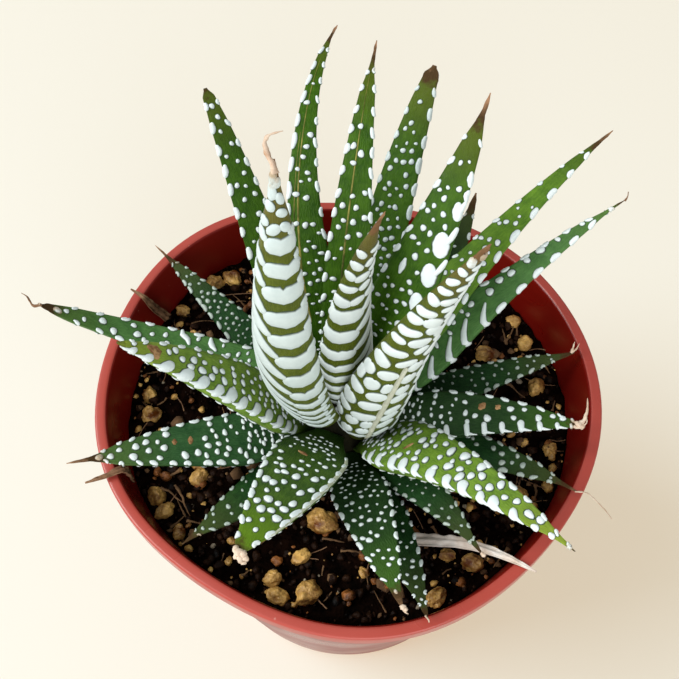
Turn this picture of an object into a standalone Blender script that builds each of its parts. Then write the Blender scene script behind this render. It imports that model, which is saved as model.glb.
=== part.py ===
"""A young zebra haworthia in a 90 mm nursery pot, each piece its own solid.

Metres, +Z up. The origin is the middle of the pot's flat base, and the pot's
axis is the Z axis. Each leaf grows from the short stem on a curved spine: it
starts at a turn about the stem and a rise above level, and both change slowly
towards the tip. Its back carries raised cross bands, its face carries
staggered warts, and its edges are scalloped where the bands end.
"""

import math
import random
from collections import namedtuple

import bmesh
import bpy
from mathutils import Matrix, Vector

MM = 0.001
GAP = 0.3 * MM  # clearance that neighbouring pieces keep

# Pot, a thin moulded cup with a flat-topped lip
RIM_RADIUS = 45.0 * MM
POT_HEIGHT = 76.0 * MM
BASE_RADIUS = 32.0 * MM
LIP_WIDTH = 2.2 * MM
LIP_DEPTH = 3.0 * MM
WALL = 1.2 * MM
EDGE = 0.4 * MM  # rounding of the lip's edges
FOOT_ROUNDING = 1.2 * MM
POT_SIDES = 48
# The thin wall has been squeezed out of round: lobes, millimetres, degrees
RIM_LOBES = ((2, 1.1, -40), (3, 0.7, 78), (4, 0.4, 104), (5, 0.45, -71))
DRAIN_HOLES = 6
DRAIN_RADIUS = 3.5 * MM
DRAIN_CIRCLE = 20.0 * MM

# Soil, with pebbles of pumice bedded in its surface
SOIL_HEIGHT = 66.0 * MM
SOIL_ROUGHNESS = 0.5 * MM
SOIL_RINGS = 8
PEBBLES = 34
PEBBLE_RADII = (1.6 * MM, 2.6 * MM)
PEBBLE_SEED = 11

# Stem, short and hidden by the leaf bases
PLANT_X = -1.0 * MM
PLANT_Y = -6.0 * MM
STEM_FOOT = 60.0 * MM
STEM_TOP = 86.0 * MM
STEM_FOOT_RADIUS = 7.5 * MM
STEM_TOP_RADIUS = 2.2 * MM
STEM_SIDES = 20

# Leaf form, as fractions of length or width
BAND_PITCH = 4.4 * MM
BAND_RISE = 0.5 * MM
WART_RISE = 0.5 * MM
EDGE_RISE = 0.35 * MM
RELIEF_FADE = 6.0 * MM  # distance from the neck over which the relief comes in
LOW_NECK = 9.0 * MM  # narrow foot of a low leaf, hidden between its neighbours
HIGH_NECK = 4.0 * MM
NECK_HEIGHTS = (70.0, 84.0)  # millimetres, from the low leaves to the heart
NECK_WIDTH = 0.45
BACK_DEPTH = 0.42
TIP_WIDTH = 0.9 * MM
TIP_DEPTH = 0.7 * MM

Leaf = namedtuple("Leaf", "name kind turn rise tip_rise length width height sweep fullness")
Dry = namedtuple("Dry", "name heading width points")

# Degrees and millimetres. Turn 0 is +X and 90 is +Y, the far side; height is
# where the leaf leaves the stem; sweep is how far its turn drifts to the tip.
LEAVES = (
    Leaf("leaf_heart_left", "heart", 230, 68, 104, 67, 10.0, 82, 45, 1.8),
    Leaf("leaf_heart_front", "heart", 294, 97, 67, 57, 8.0, 85, 16, 1.2),
    Leaf("leaf_heart_right", "heart", 316, 80, 66, 63, 9.5, 76, 20, 1.2),
    Leaf("leaf_back_1", "mid", 119, 41, 49, 58, 8.0, 73, -3, 1.35),
    Leaf("leaf_back_2", "mid", 110, 60, -12, 71, 7.5, 81, -40, 0.8),
    Leaf("leaf_back_3", "mid", 85, 73, 7, 58, 7.5, 85, -5, 1.2),
    Leaf("leaf_back_4", "mid", 77, 34, 48, 59, 8.5, 75, -12, 1.8),
    Leaf("leaf_back_5", "mid", 46, 62, 27, 55, 11.0, 80, 19, 1.2),
    Leaf("leaf_back_6", "bright", 43, 38, 20, 63, 9.0, 77, -8, 0.9),
    Leaf("leaf_back_7", "deep", 32, 36, 24, 58, 9.0, 72, -4, 0.9),
    Leaf("leaf_back_8", "deep", 47, 28, 30, 46, 7.0, 68, 24, 1.35),
    Leaf("leaf_left_1", "deep", 136, 14, 7, 46, 7.5, 70, 0, 1.2),
    Leaf("leaf_left_2", "mid", 152, -7, 50, 57, 8.0, 78.5, 42, 1),
    Leaf("leaf_left_3", "bright", 195, 69, 38, 46, 10.0, 73, -8, 1.6),
    Leaf("leaf_left_4", "deep", 196, 24, 18, 43, 10.0, 71, 6, 1.35),
    Leaf("leaf_left_5", "deep", 224, 22, 2, 30, 8.0, 69, -3, 1.35),
    Leaf("leaf_front_1", "bright", 248, 45, 14, 35, 12.0, 76.5, -5, 1.7),
    Leaf("leaf_front_2", "mid", 281, 39, 4, 35, 10.0, 71, 8, 1.35),
    Leaf("leaf_front_3", "deep", 295, 21, 12, 34, 7.5, 68, -12, 1.5),
    Leaf("leaf_front_4", "deep", 316, 32, 0, 31, 8.0, 70, -15, 1.2),
    Leaf("leaf_right_1", "bright", 314, 64, -3, 50, 10.5, 72.5, 2, 1.2),
    Leaf("leaf_right_2", "deep", 348, 24, 3, 38, 7.5, 68.5, -24, 1.35),
    Leaf("leaf_right_3", "deep", 356, 25, 0, 37, 9.5, 73.5, -9, 1.35),
    Leaf("leaf_right_4", "deep", 20, 12, 14, 39, 7.5, 69, -13, 1.3),
    Leaf("leaf_rear_1", "deep", 77, 24, 10, 36, 8.0, 69, 0, 1.35),
    Leaf("leaf_rear_2", "deep", 103, 27, 14, 36, 8.0, 71, 0, 1.35),
)

# Withered bits: the heading each runs in, its width, then points from base to tip
DRY_THICKNESS = 0.6 * MM
DRY_FOLD = 0.2 * MM
DRY_LEAVES = (
    Dry("dry_leaf_left", 154, 2.0, (
        (-36.3, 19.7, 67.4), (-37.0, 19.4, 69.5), (-37.9, 18.7, 72.5),
        (-38.4, 18.2, 75.3), (-39.2, 18.3, 77.0), (-41.7, 19.8, 77.4),
    )),
    Dry("dry_straw_left", 204, 1.6, (
        (-37.6, -17.1, 72.0), (-37.7, -17.2, 75.2), (-38.5, -17.5, 76.9),
        (-41.1, -18.7, 76.8), (-44.1, -20.1, 77.3),
    )),
    Dry("dry_straw_right", -21, 2.3, (
        (8.6, -26.3, 67.7), (14.5, -26.9, 68.2), (19.0, -28.2, 71.0),
        (23.0, -30.6, 74.8), (26.5, -32.9, 76.8), (30.3, -34.9, 76.8),
    )),
)

# Colour and roughness of each finish
FINISHES = {
    "pot_plastic": ((0.52, 0.06, 0.04), 0.4),
    "potting_soil": ((0.035, 0.022, 0.015), 0.95),
    "stem_green": ((0.08, 0.16, 0.04), 0.6),
    "heart_leaf": ((0.62, 0.66, 0.58), 0.5),
    "bright_leaf": ((0.16, 0.34, 0.03), 0.45),
    "mid_leaf": ((0.05, 0.17, 0.03), 0.45),
    "deep_leaf": ((0.015, 0.075, 0.03), 0.45),
    "dry_leaf": ((0.62, 0.47, 0.30), 0.8),
}


def clear_scene():
    for thing in list(bpy.data.objects):
        bpy.data.objects.remove(thing, do_unlink=True)


def material(name):
    colour, roughness = FINISHES[name]
    made = bpy.data.materials.new(name)
    made.use_nodes = True
    shader = made.node_tree.nodes["Principled BSDF"]
    shader.inputs["Base Color"].default_value = (*colour, 1.0)
    shader.inputs["Roughness"].default_value = roughness
    shader.inputs["Metallic"].default_value = 0.0
    made.diffuse_color = (*colour, 1.0)
    return made


def add_object(name, mesh_builder, finish, crease=35.0):
    """A closed bmesh becomes one named, smooth-shaded object."""
    bmesh.ops.recalc_face_normals(mesh_builder, faces=mesh_builder.faces)
    if mesh_builder.calc_volume(signed=True) < 0:
        bmesh.ops.reverse_faces(mesh_builder, faces=mesh_builder.faces)
    mesh = bpy.data.meshes.new(name)
    mesh_builder.to_mesh(mesh)
    mesh_builder.free()
    mesh.shade_smooth()
    mesh.set_sharp_from_angle(angle=math.radians(crease))
    mesh.materials.append(finish)
    thing = bpy.data.objects.new(name, mesh)
    bpy.context.scene.collection.objects.link(thing)
    return thing


def smooth_step(value):
    value = min(max(value, 0.0), 1.0)
    return value * value * (3.0 - 2.0 * value)


def mix(a, b, share):
    return a + (b - a) * share


# ---------------------------------------------------------------- pot and soil


def out_of_round(point):
    """A thin pot's wall is a little out of round, most of all at the rim."""
    angle = math.atan2(point.y, point.x)
    push = sum(
        swell * MM * math.cos(lobes * angle - math.radians(phase))
        for lobes, swell, phase in RIM_LOBES
    )
    scale = 1.0 + push / RIM_RADIUS * point.z / POT_HEIGHT
    return Vector((point.x * scale, point.y * scale, point.z))


def wall_radius(z):
    """Outer radius of the tapered wall at a height."""
    top = RIM_RADIUS - LIP_WIDTH + WALL
    return mix(BASE_RADIUS, top, z / POT_HEIGHT)


def turned(profile, sides):
    """A closed profile of (radius, height) points spun round the Z axis."""
    shape = bmesh.new()
    points = [shape.verts.new((radius, 0.0, z)) for radius, z in profile]
    edges = [shape.edges.new(pair) for pair in zip(points, points[1:])]
    bmesh.ops.spin(
        shape,
        geom=points + edges,
        cent=(0, 0, 0),
        axis=(0, 0, 1),
        angle=2 * math.pi,
        steps=sides,
        use_merge=True,
    )
    bmesh.ops.remove_doubles(shape, verts=shape.verts, dist=1e-6)
    return shape


def drain_cutter(finish):
    cutter = bmesh.new()
    for index in range(DRAIN_HOLES):
        angle = 2 * math.pi * (index + 0.5) / DRAIN_HOLES
        place = Matrix.Translation(
            (DRAIN_CIRCLE * math.cos(angle), DRAIN_CIRCLE * math.sin(angle), 0)
        )
        bmesh.ops.create_cone(
            cutter,
            cap_ends=True,
            segments=12,
            radius1=DRAIN_RADIUS,
            radius2=DRAIN_RADIUS,
            depth=4 * WALL,
            matrix=place,
        )
    thing = add_object("drain_cutter", cutter, finish)
    thing.hide_render = True
    thing.display_type = "WIRE"
    return thing


def make_pot(finish):
    body_top = POT_HEIGHT - LIP_DEPTH
    inner_top = RIM_RADIUS - LIP_WIDTH
    profile = [
        (0, 0),
        (BASE_RADIUS * 0.45, 0),
        (BASE_RADIUS - FOOT_ROUNDING, 0),
        (wall_radius(FOOT_ROUNDING), FOOT_ROUNDING),
        (wall_radius(POT_HEIGHT * 0.5), POT_HEIGHT * 0.5),
        (wall_radius(body_top), body_top),
        (RIM_RADIUS, body_top),
        (RIM_RADIUS, POT_HEIGHT - EDGE),
        (RIM_RADIUS - EDGE, POT_HEIGHT),
        (inner_top + EDGE, POT_HEIGHT),
        (inner_top, POT_HEIGHT - EDGE),
        (wall_radius(POT_HEIGHT * 0.5) - WALL, POT_HEIGHT * 0.5),
        (wall_radius(WALL) - WALL, WALL),
        (BASE_RADIUS * 0.45, WALL),
        (0, WALL),
    ]
    shape = turned(profile, POT_SIDES)
    for vertex in shape.verts:
        vertex.co = out_of_round(vertex.co)
    pot = add_object("pot", shape, finish, crease=40)
    cut = pot.modifiers.new("drain_holes", "BOOLEAN")
    cut.operation = "DIFFERENCE"
    cut.object = drain_cutter(finish)
    return pot


def soil_height(x, y):
    waves = math.sin(x / MM * 0.55 + 1.0) * math.cos(y / MM * 0.47)
    ripple = math.sin(x / MM * 1.3 - y / MM * 0.9) * 0.5
    return SOIL_HEIGHT + SOIL_ROUGHNESS * (waves + ripple) / 1.5


def pebble_places():
    """Scattered over the soil, clear of the stem and of the wall."""
    draw = random.Random(PEBBLE_SEED)
    inside = wall_radius(SOIL_HEIGHT) - WALL
    places = []
    while len(places) < PEBBLES:
        radius = draw.uniform(*PEBBLE_RADII)
        reach = inside * math.sqrt(draw.random())
        turn = draw.uniform(0, 2 * math.pi)
        place = Vector((reach * math.cos(turn), reach * math.sin(turn), 0))
        from_stem = math.hypot(place.x - PLANT_X, place.y - PLANT_Y)
        if reach > inside - 4 * MM or from_stem < STEM_FOOT_RADIUS + 5 * MM:
            continue
        if all((place - other).length > radius + size + MM for other, size, _ in places):
            places.append((place, radius, draw.uniform(0, math.pi)))
    return places


def add_pebble(shape, place, radius, turn):
    sunk = soil_height(place.x, place.y) - radius * 0.35
    spread = Matrix.Translation((place.x, place.y, sunk)) @ Matrix.Rotation(turn, 4, "Z")
    squash = Matrix.Diagonal((1.0, 0.8, 0.75, 1.0))
    bmesh.ops.create_icosphere(shape, subdivisions=1, radius=radius, matrix=spread @ squash)


def make_soil(finish):
    top_radius = wall_radius(SOIL_HEIGHT) - WALL - GAP
    floor = WALL + GAP
    well = STEM_FOOT_RADIUS + GAP
    waist = POT_HEIGHT * 0.5
    profile = [
        (0, floor),
        (wall_radius(floor) - WALL - GAP, floor),
        (wall_radius(waist) - WALL - GAP, waist),
    ]
    for ring in range(SOIL_RINGS + 1):
        profile.append((mix(top_radius, well, ring / SOIL_RINGS), SOIL_HEIGHT))
    profile += [(well, STEM_FOOT - GAP), (0, STEM_FOOT - GAP)]
    shape = turned(profile, POT_SIDES)
    plant = Vector((PLANT_X, PLANT_Y, 0))
    for vertex in shape.verts:
        place = vertex.co.copy()
        reach = place.xy.length
        vertex.co = out_of_round(place)
        if place.z < STEM_FOOT - MM:
            continue
        # from the wall's outline inward to the round well about the stem
        lean = min((top_radius - reach) / (top_radius - well), 1.0)
        vertex.co = vertex.co.lerp(place + plant, lean)
        if place.z > STEM_FOOT and reach < top_radius - MM:
            vertex.co.z = soil_height(vertex.co.x, vertex.co.y)
    soil = add_object("soil", shape, finish, crease=30)
    pebbles = bmesh.new()
    for place, radius, turn in pebble_places():
        add_pebble(pebbles, place, radius, turn)
    stones = add_object("pebbles", pebbles, finish)
    join(soil, stones)
    return soil


def join(body, extra):
    """Fuse one object into another for good."""
    fuse = body.modifiers.new("fuse", "BOOLEAN")
    fuse.operation = "UNION"
    fuse.object = extra
    bpy.context.view_layer.update()
    shapes = bpy.context.evaluated_depsgraph_get()
    fused = bpy.data.meshes.new_from_object(body.evaluated_get(shapes))
    body.modifiers.clear()
    body.data = fused
    bpy.data.objects.remove(extra, do_unlink=True)


# ---------------------------------------------------------------------- plant


def stem_radius(z):
    share = (z - STEM_FOOT) / (STEM_TOP - STEM_FOOT)
    share = min(max(share, 0.0), 1.0)
    return mix(STEM_FOOT_RADIUS, STEM_TOP_RADIUS, share ** 1.2)


def make_stem(finish):
    steps = 8
    heights = [mix(STEM_FOOT, STEM_TOP, i / steps) for i in range(steps + 1)]
    profile = [(0, STEM_FOOT)] + [(stem_radius(z), z) for z in heights] + [(0, STEM_TOP)]
    shape = turned(profile, STEM_SIDES)
    bmesh.ops.translate(shape, verts=shape.verts, vec=(PLANT_X, PLANT_Y, 0))
    return add_object("stem", shape, finish)


def neck_length(leaf):
    low, high = NECK_HEIGHTS
    share = min(max((leaf.height - low) / (high - low), 0.0), 1.0)
    return mix(LOW_NECK, HIGH_NECK, share)


def leaf_width(leaf, share):
    """Full width along a leaf: a narrow neck, a broad lower half, a long taper."""
    neck = neck_length(leaf) / (leaf.length * MM)
    rise = mix(NECK_WIDTH, 1.0, smooth_step(share / (1.6 * neck)))
    taper = 1.0 - (max(share - 0.3, 0.0) / 0.7) ** leaf.fullness
    return mix(TIP_WIDTH, leaf.width * MM * rise, taper)


def leaf_spine(leaf, steps):
    """Points of the spine, each with its directions across and inward."""
    turn = math.radians(leaf.turn)
    rise = math.radians(leaf.rise)
    depth = BACK_DEPTH * NECK_WIDTH * leaf.width * MM
    start = leaf.height * MM
    reach = max(
        stem_radius(start) + GAP,
        stem_radius(start - depth * math.cos(rise)) + GAP - depth * math.sin(rise),
    )
    point = Vector(
        (PLANT_X + reach * math.cos(turn), PLANT_Y + reach * math.sin(turn), start)
    )
    stride = leaf.length * MM / steps
    frames = []
    for step in range(steps + 1):
        share = step / steps
        now_rise = math.radians(mix(leaf.rise, leaf.tip_rise, share))
        now_turn = math.radians(leaf.turn + leaf.sweep * share)
        level = Vector((math.cos(now_turn), math.sin(now_turn), 0))
        along = level * math.cos(now_rise) + Vector((0, 0, math.sin(now_rise)))
        inward = Vector((0, 0, math.cos(now_rise))) - level * math.sin(now_rise)
        frames.append((point.copy(), along.cross(inward), inward))
        point += along * stride
    return frames


def leaf_section(leaf, share, ring, raised):
    """Ring of (across, inward) points: face, edges and keeled back, with relief."""
    half = leaf_width(leaf, share) / 2
    depth = max(2 * half * BACK_DEPTH, TIP_DEPTH)
    past_neck = share * leaf.length * MM - neck_length(leaf)
    relief = smooth_step(past_neck / RELIEF_FADE) * smooth_step((1 - share) * 8)
    band = BAND_RISE * relief if raised else 0.0
    edge = half + (EDGE_RISE * relief if raised else 0.0)
    hollow = -0.10 * depth
    face = [(-0.55 * half, hollow), (0.0, hollow * 1.3), (0.55 * half, hollow)]
    section = [(-edge, 0.0)]
    for column, (across, inward) in enumerate(face):
        wart = WART_RISE * relief if (ring + column) % 2 == 0 else 0.0
        section.append((across, inward + wart))
    section.append((edge, 0.0))
    back = ((0.72, 0.66), (0.0, 1.0), (-0.72, 0.66))
    for across, inward in back:
        section.append((across * (half + band), -inward * (depth + band)))
    return section


def skin(shape, rings):
    """Close a run of rings of points into one body of triangles."""
    for lower, upper in zip(rings, rings[1:]):
        for index in range(len(lower)):
            after = (index + 1) % len(lower)
            shape.faces.new((lower[index], lower[after], upper[after], upper[index]))
    shape.faces.new(rings[0])
    shape.faces.new(rings[-1])
    bmesh.ops.triangulate(shape, faces=shape.faces)


def make_leaf(leaf, finish):
    per_band = 3 if leaf.kind == "heart" else 2
    bands = round(leaf.length * MM / BAND_PITCH)
    steps = bands * per_band
    shape = bmesh.new()
    rings = []
    for ring, (point, across, inward) in enumerate(leaf_spine(leaf, steps)):
        raised = ring % per_band != 0
        section = leaf_section(leaf, ring / steps, ring, raised)
        rings.append([shape.verts.new(point + across * x + inward * y) for x, y in section])
    skin(shape, rings)
    return add_object(leaf.name, shape, finish, crease=60)


def along_points(points, steps):
    """Places on a smooth curve through the points, steps to each stretch."""
    padded = [points[0] * 2 - points[1], *points, points[-1] * 2 - points[-2]]
    places = []
    for before, a, b, after in zip(padded, padded[1:], padded[2:], padded[3:]):
        for step in range(steps):
            t = step / steps
            bend = (b - before) * t + (before * 2 - a * 5 + b * 4 - after) * t ** 2
            places.append(a + (bend + (a * 3 - b * 3 + after - before) * t ** 3) / 2)
    return places + [points[-1]]


def make_dry(dry, finish):
    """A flat withered strip, folded a little along its middle."""
    heading = math.radians(dry.heading)
    across = Vector((-math.sin(heading), math.cos(heading), 0))
    places = along_points([Vector(point) * MM for point in dry.points], 3)
    thick = DRY_THICKNESS / 2
    shape = bmesh.new()
    rings = []
    for index, place in enumerate(places):
        share = index / (len(places) - 1)
        ahead = places[min(index + 1, len(places) - 1)] - places[max(index - 1, 0)]
        above = ahead.cross(across).normalized()
        half = mix(dry.width * MM / 2, TIP_WIDTH / 2, share ** 2.5)
        section = (
            (-half, thick), (0, thick + DRY_FOLD), (half, thick),
            (half, -thick), (0, DRY_FOLD - thick), (-half, -thick),
        )
        rings.append([shape.verts.new(place + across * x + above * y) for x, y in section])
    skin(shape, rings)
    return add_object(dry.name, shape, finish, crease=60)


def main():
    clear_scene()
    finishes = {name: material(name) for name in FINISHES}
    make_pot(finishes["pot_plastic"])
    make_soil(finishes["potting_soil"])
    make_stem(finishes["stem_green"])
    for leaf in LEAVES:
        make_leaf(leaf, finishes[leaf.kind + "_leaf"])
    for dry in DRY_LEAVES:
        make_dry(dry, finishes["dry_leaf"])


main()
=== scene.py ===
"""The looks of a young zebra haworthia in a 90 mm nursery pot.

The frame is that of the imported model: metres, +Z up. Sizes in this file are in
millimetres, and Fabric.make turns them into metres. Each leaf is grown again on
nearly the spine and width that its solid has, with a fine skin. White wax stands
on it as bands across the back and as warts in rows on the face. The pot, the soil
and the withered bits are made again in the same way, finer than their solids.
"""

import math
import random
from collections import namedtuple

import bmesh
import bpy
import numpy as np
from mathutils import Matrix, Vector, noise


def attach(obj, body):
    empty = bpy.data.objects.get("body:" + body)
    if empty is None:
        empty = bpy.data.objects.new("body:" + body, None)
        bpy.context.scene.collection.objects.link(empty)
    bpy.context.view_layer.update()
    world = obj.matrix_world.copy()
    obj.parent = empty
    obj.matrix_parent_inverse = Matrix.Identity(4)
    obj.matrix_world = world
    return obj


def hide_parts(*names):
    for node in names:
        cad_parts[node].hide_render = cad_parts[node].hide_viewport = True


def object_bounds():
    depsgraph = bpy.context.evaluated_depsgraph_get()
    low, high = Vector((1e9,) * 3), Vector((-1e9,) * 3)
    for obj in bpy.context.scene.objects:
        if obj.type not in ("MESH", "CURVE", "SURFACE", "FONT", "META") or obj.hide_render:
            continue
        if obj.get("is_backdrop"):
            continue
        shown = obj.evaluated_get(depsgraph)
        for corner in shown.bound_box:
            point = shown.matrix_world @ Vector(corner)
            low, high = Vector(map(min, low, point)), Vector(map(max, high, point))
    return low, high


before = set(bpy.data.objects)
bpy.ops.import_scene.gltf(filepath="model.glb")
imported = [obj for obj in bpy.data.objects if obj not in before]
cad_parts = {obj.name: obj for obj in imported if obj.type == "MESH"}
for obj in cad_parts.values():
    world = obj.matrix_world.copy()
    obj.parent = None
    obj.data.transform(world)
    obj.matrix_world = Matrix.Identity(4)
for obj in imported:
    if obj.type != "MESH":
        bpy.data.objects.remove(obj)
cad_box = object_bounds()

MM = 0.001
BODY = "root"

# ------------------------------------------------------- sizes, as the solids have them

RIM_RADIUS = 45.0
POT_HEIGHT = 76.0
BASE_RADIUS = 32.0
LIP_WIDTH = 2.2
LIP_DEPTH = 3.0
WALL = 1.2
FOOT_ROUNDING = 1.2
# How the rim is out of round: lobes, swell, and heading of the first lobe in degrees
RIM_LOBES = ((2, 1.1, -40), (3, 0.7, 78), (4, 0.4, 104), (5, 0.45, -71))
DRAIN_HOLES = 6
DRAIN_RADIUS = 3.5
DRAIN_CIRCLE = 20.0
SOIL_HEIGHT = 66.0
PLANT = np.array([-1.0, -6.0])
STEM_FOOT = 60.0
STEM_TOP = 86.0
STEM_FOOT_RADIUS = 7.5
STEM_TOP_RADIUS = 2.2
GAP = 0.3
BAND_PITCH = 4.4
LOW_NECK = 9.0
HIGH_NECK = 4.0
NECK_HEIGHTS = (70.0, 84.0)
NECK_WIDTH = 0.45
BACK_DEPTH = 0.42


# ------------------------------------------------------------------------------- leaves


class Leaf(namedtuple("Leaf", "name kind turn rise tip_rise length width height sweep fullness")):
    """Where a leaf stands and how it runs. turn is its heading at the foot and sweep how far
    that turns towards the tip, rise and tip_rise are its slope at both ends, in degrees.
    height is that of its foot, and a larger fullness keeps it wide for longer."""

    @property
    def node(self):
        return "leaf_" + self.name

    @property
    def seed(self):
        return sum(map(ord, self.node))


LEAVES = [Leaf(*row) for row in (
    ("heart_left", "heart", 230, 68, 104, 67, 9.8, 82, 45, 1.55),
    ("heart_front", "heart", 294, 97, 67, 57, 8.4, 85, 16, 1.05),
    ("heart_right", "heart", 315, 83, 69, 66.5, 10.6, 76, 20, 1.25),
    ("back_1", "mid", 119, 41, 49, 58, 8.0, 73, -3, 1.35),
    ("back_2", "mid", 110, 60, -12, 71, 7.5, 81, -40, 0.8),
    ("back_3", "mid", 85, 73, 7, 58, 7.5, 85, -5, 1.2),
    ("back_4", "mid", 77, 34, 48, 59, 8.5, 75, -12, 1.8),
    ("back_5", "mid", 46, 62, 27, 55, 11.0, 80, 19, 1.2),
    ("back_6", "bright", 43, 38, 20, 63, 9.0, 77, -8, 0.9),
    ("back_7", "deep", 32, 36, 24, 58, 9.0, 72, -4, 0.9),
    ("back_8", "deep", 47, 28, 30, 46, 7.0, 68, 24, 1.35),
    ("left_1", "deep", 136, 14, 7, 46, 7.5, 70, 0, 1.2),
    ("left_2", "mid", 152, -7, 50, 57, 8.0, 78.5, 42, 1),
    ("left_3", "bright", 195, 69, 38, 46, 10.0, 73, -8, 1.6),
    ("left_4", "deep", 196, 24, 18, 43, 10.0, 71, 6, 1.35),
    ("left_5", "deep", 224, 22, 2, 30, 8.0, 69, -3, 1.35),
    ("front_1", "bright", 248, 45, 14, 35, 12.0, 76.5, -5, 1.7),
    ("front_2", "mid", 281, 39, 4, 35, 10.0, 71, 8, 1.35),
    ("front_3", "deep", 295, 21, 12, 34, 7.5, 68, -12, 1.5),
    ("front_4", "deep", 316, 32, 0, 31, 8.0, 70, -15, 1.2),
    ("right_1", "bright", 314, 64, -3, 50, 10.5, 72.5, 2, 1.2),
    ("right_2", "deep", 348, 24, 3, 38, 7.5, 68.5, -24, 1.35),
    ("right_3", "deep", 356, 25, 0, 37, 9.5, 73.5, -9, 1.35),
    ("right_4", "deep", 20, 12, 14, 39, 7.5, 69, -13, 1.3),
    ("rear_1", "deep", 77, 24, 10, 36, 8.0, 69, 0, 1.35),
    ("rear_2", "deep", 103, 27, 14, 36, 8.0, 71, 0, 1.35),
)]

# How each leaf ends and what wax it carries: length that has dried, length and width of the
# bristle at the end, where rows of warts start and stop, half-width of a wart at the foot and
# at its largest, space between warts across and along, where the rows thin out, and pitch of
# the bands. Then, for the right and the left margin: how far a band comes onto the face, how
# far it slants towards the tip there, and its half-width.
Look = namedtuple(
    "Look", "dry bristle tip first last small large across pitch sparse bands right left"
)

LOOKS = {name: Look(*row) for name, row in {
    "heart_left": (
        2.5, 2.0, 0.7, 20, 58, .30, .50, 2.2, 4.2, 60, 4.2, (.6, 1.8, .6), (.6, 1.8, .6),
    ),
    "heart_front": (
        5.5, 3.0, 0.7, 20, 46, .30, .50, 2.2, 4.0, 50, 4.0, (.6, 1.6, .5), (.6, 1.6, .5),
    ),
    "heart_right": (
        3.4, 2.0, 1.3, 20, 46, .30, .50, 2.2, 4.0, 50, 3.6, (.6, 1.6, .5), (.6, 1.6, .5),
    ),
    "back_1": (0.8, 0.0, 2.0, 10, 58, .34, .50, 1.8, 2.6, 99, 3.6, (.6, 1.0, .48), (.7, 1.4, .60)),
    "back_2": (6.0, 4.0, 0.5, 8, 58, .32, .54, 1.65, 2.15, 40, 4.0, (.5, 1.5, .38), (.7, 2.6, .52)),
    "back_3": (5.0, 4.0, 0.5, 8, 54, .32, .54, 1.65, 2.2, 44, 3.3, (.6, 1.6, .40), (.7, 1.0, .54)),
    "back_4": (3.0, 0.0, 2.5, 8, 55, .30, .46, 1.5, 1.9, 50, 4.3, (.7, 2.1, .62), (.6, 1.1, .48)),
    "back_5": (6.0, 2.5, 0.6, 8, 46, .32, .54, 1.6, 2.1, 42, 4.0, (.6, 1.4, .50), (.6, 1.0, .54)),
    "back_6": (5.0, 2.0, 0.5, 8, 46, .28, .50, 1.6, 2.2, 40, 4.6, (.7, 1.6, .66), (.5, 0.8, .36)),
    "back_7": (2.5, 2.5, 0.4, 10, 54, .46, .70, 1.9, 2.8, 99, 4.2, (3.2, 2.2, .60), (.6, 1.2, .46)),
    "back_8": (4.0, 0.5, 0.9, 12, 40, .24, .38, 2.0, 2.8, 36, 4.0, (.6, 1.5, .42), (.6, 1.4, .38)),
    "left_1": (6.0, 3.0, 0.4, 8, 39, .24, .40, 1.2, 1.5, 40, 2.3, (.5, 0.7, .34), (.5, 1.4, .40)),
    "left_2": (3.5, 0.0, 1.1, 8, 63, .42, .62, 2.0, 3.0, 99, 4.3, (.6, 1.2, .48), (.6, 1.3, .46)),
    "left_3": (0.8, 0.0, 1.3, 6, 46, .36, .64, 1.5, 2.0, 99, 3.0, (.5, 1.0, .42), (1.5, -0.9, .86)),
    "left_4": (6.0, 3.0, 0.5, 7, 40, .40, .66, 1.55, 2.1, 99, 2.8, (.6, 1.1, .52), (.6, 0.9, .50)),
    "left_5": (3.0, 1.0, 0.5, 7, 28, .24, .40, 1.7, 2.1, 99, 2.4, (.5, 0.9, .34), (.5, 0.9, .38)),
    "front_1": (
        1.6, 0.0, 2.2, 6, 34, .28, .72, 1.55, 2.05, 99, 2.6, (.7, 1.2, .64), (.7, 1.5, .60),
    ),
    "front_2": (3.5, 1.0, 0.9, 6, 34, .24, .46, 1.45, 1.7, 99, 2.3, (.5, 1.2, .40), (.5, 1.1, .42)),
    "front_3": (2.0, 1.0, 0.8, 8, 32, .22, .38, 1.5, 1.9, 99, 2.4, (.5, 0.9, .34), (.5, 1.0, .38)),
    "front_4": (2.0, 1.0, 0.5, 8, 29, .20, .32, 1.6, 2.1, 99, 2.2, (.5, 0.8, .34), (.5, 0.9, .34)),
    "right_1": (
        1.4, 1.0, 0.5, 4, 46, .40, .76, 1.6, 2.05, 99, 2.9, (1.30, -0.5, .74), (.7, 1.0, .52),
    ),
    "right_2": (4.0, 2.0, 0.5, 8, 35, .32, .52, 1.8, 2.3, 99, 2.6, (.6, 1.1, .48), (.6, 1.1, .40)),
    "right_3": (
        2.0, 0.0, 1.2, 6, 36, .34, .62, 1.6, 2.1, 99, 3.0, (1.75, -0.2, .56), (.6, 1.1, .50),
    ),
    "right_4": (3.0, 1.0, 0.8, 8, 36, .22, .34, 1.6, 2.0, 99, 2.3, (.5, 1.0, .42), (.5, 1.0, .34)),
    "rear_1": (3.0, 1.5, 0.5, 8, 33, .22, .38, 1.6, 2.3, 99, 3.0, (.5, 1.1, .38), (.5, 1.1, .38)),
    "rear_2": (3.0, 1.5, 0.5, 8, 33, .22, .38, 1.6, 2.3, 99, 3.0, (.5, 1.1, .38), (.5, 1.1, .38)),
}.items()}

# Leaves whose green or wax isn't that of their kind. The greens of front_1, front_2 and right_3 are
# darker, bluer copies of the bright and mid greens: painted shade
TONES = {
    "front_1": "shaded", "front_2": "shaded_mid", "right_3": "shaded_mid", "left_3": "fresh",
    "left_4": "blue_green", "back_7": "silver", "left_2": "silver", "back_6": "dark_tipped",
    "right_1": "spring",
}
WAXES = {
    "heart_left": "soft_wax", "back_4": "soft_wax", "left_1": "dim_wax", "right_2": "dim_wax",
    "right_4": "dim_wax", "left_5": "dim_wax", "front_4": "dim_wax",
}

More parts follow.
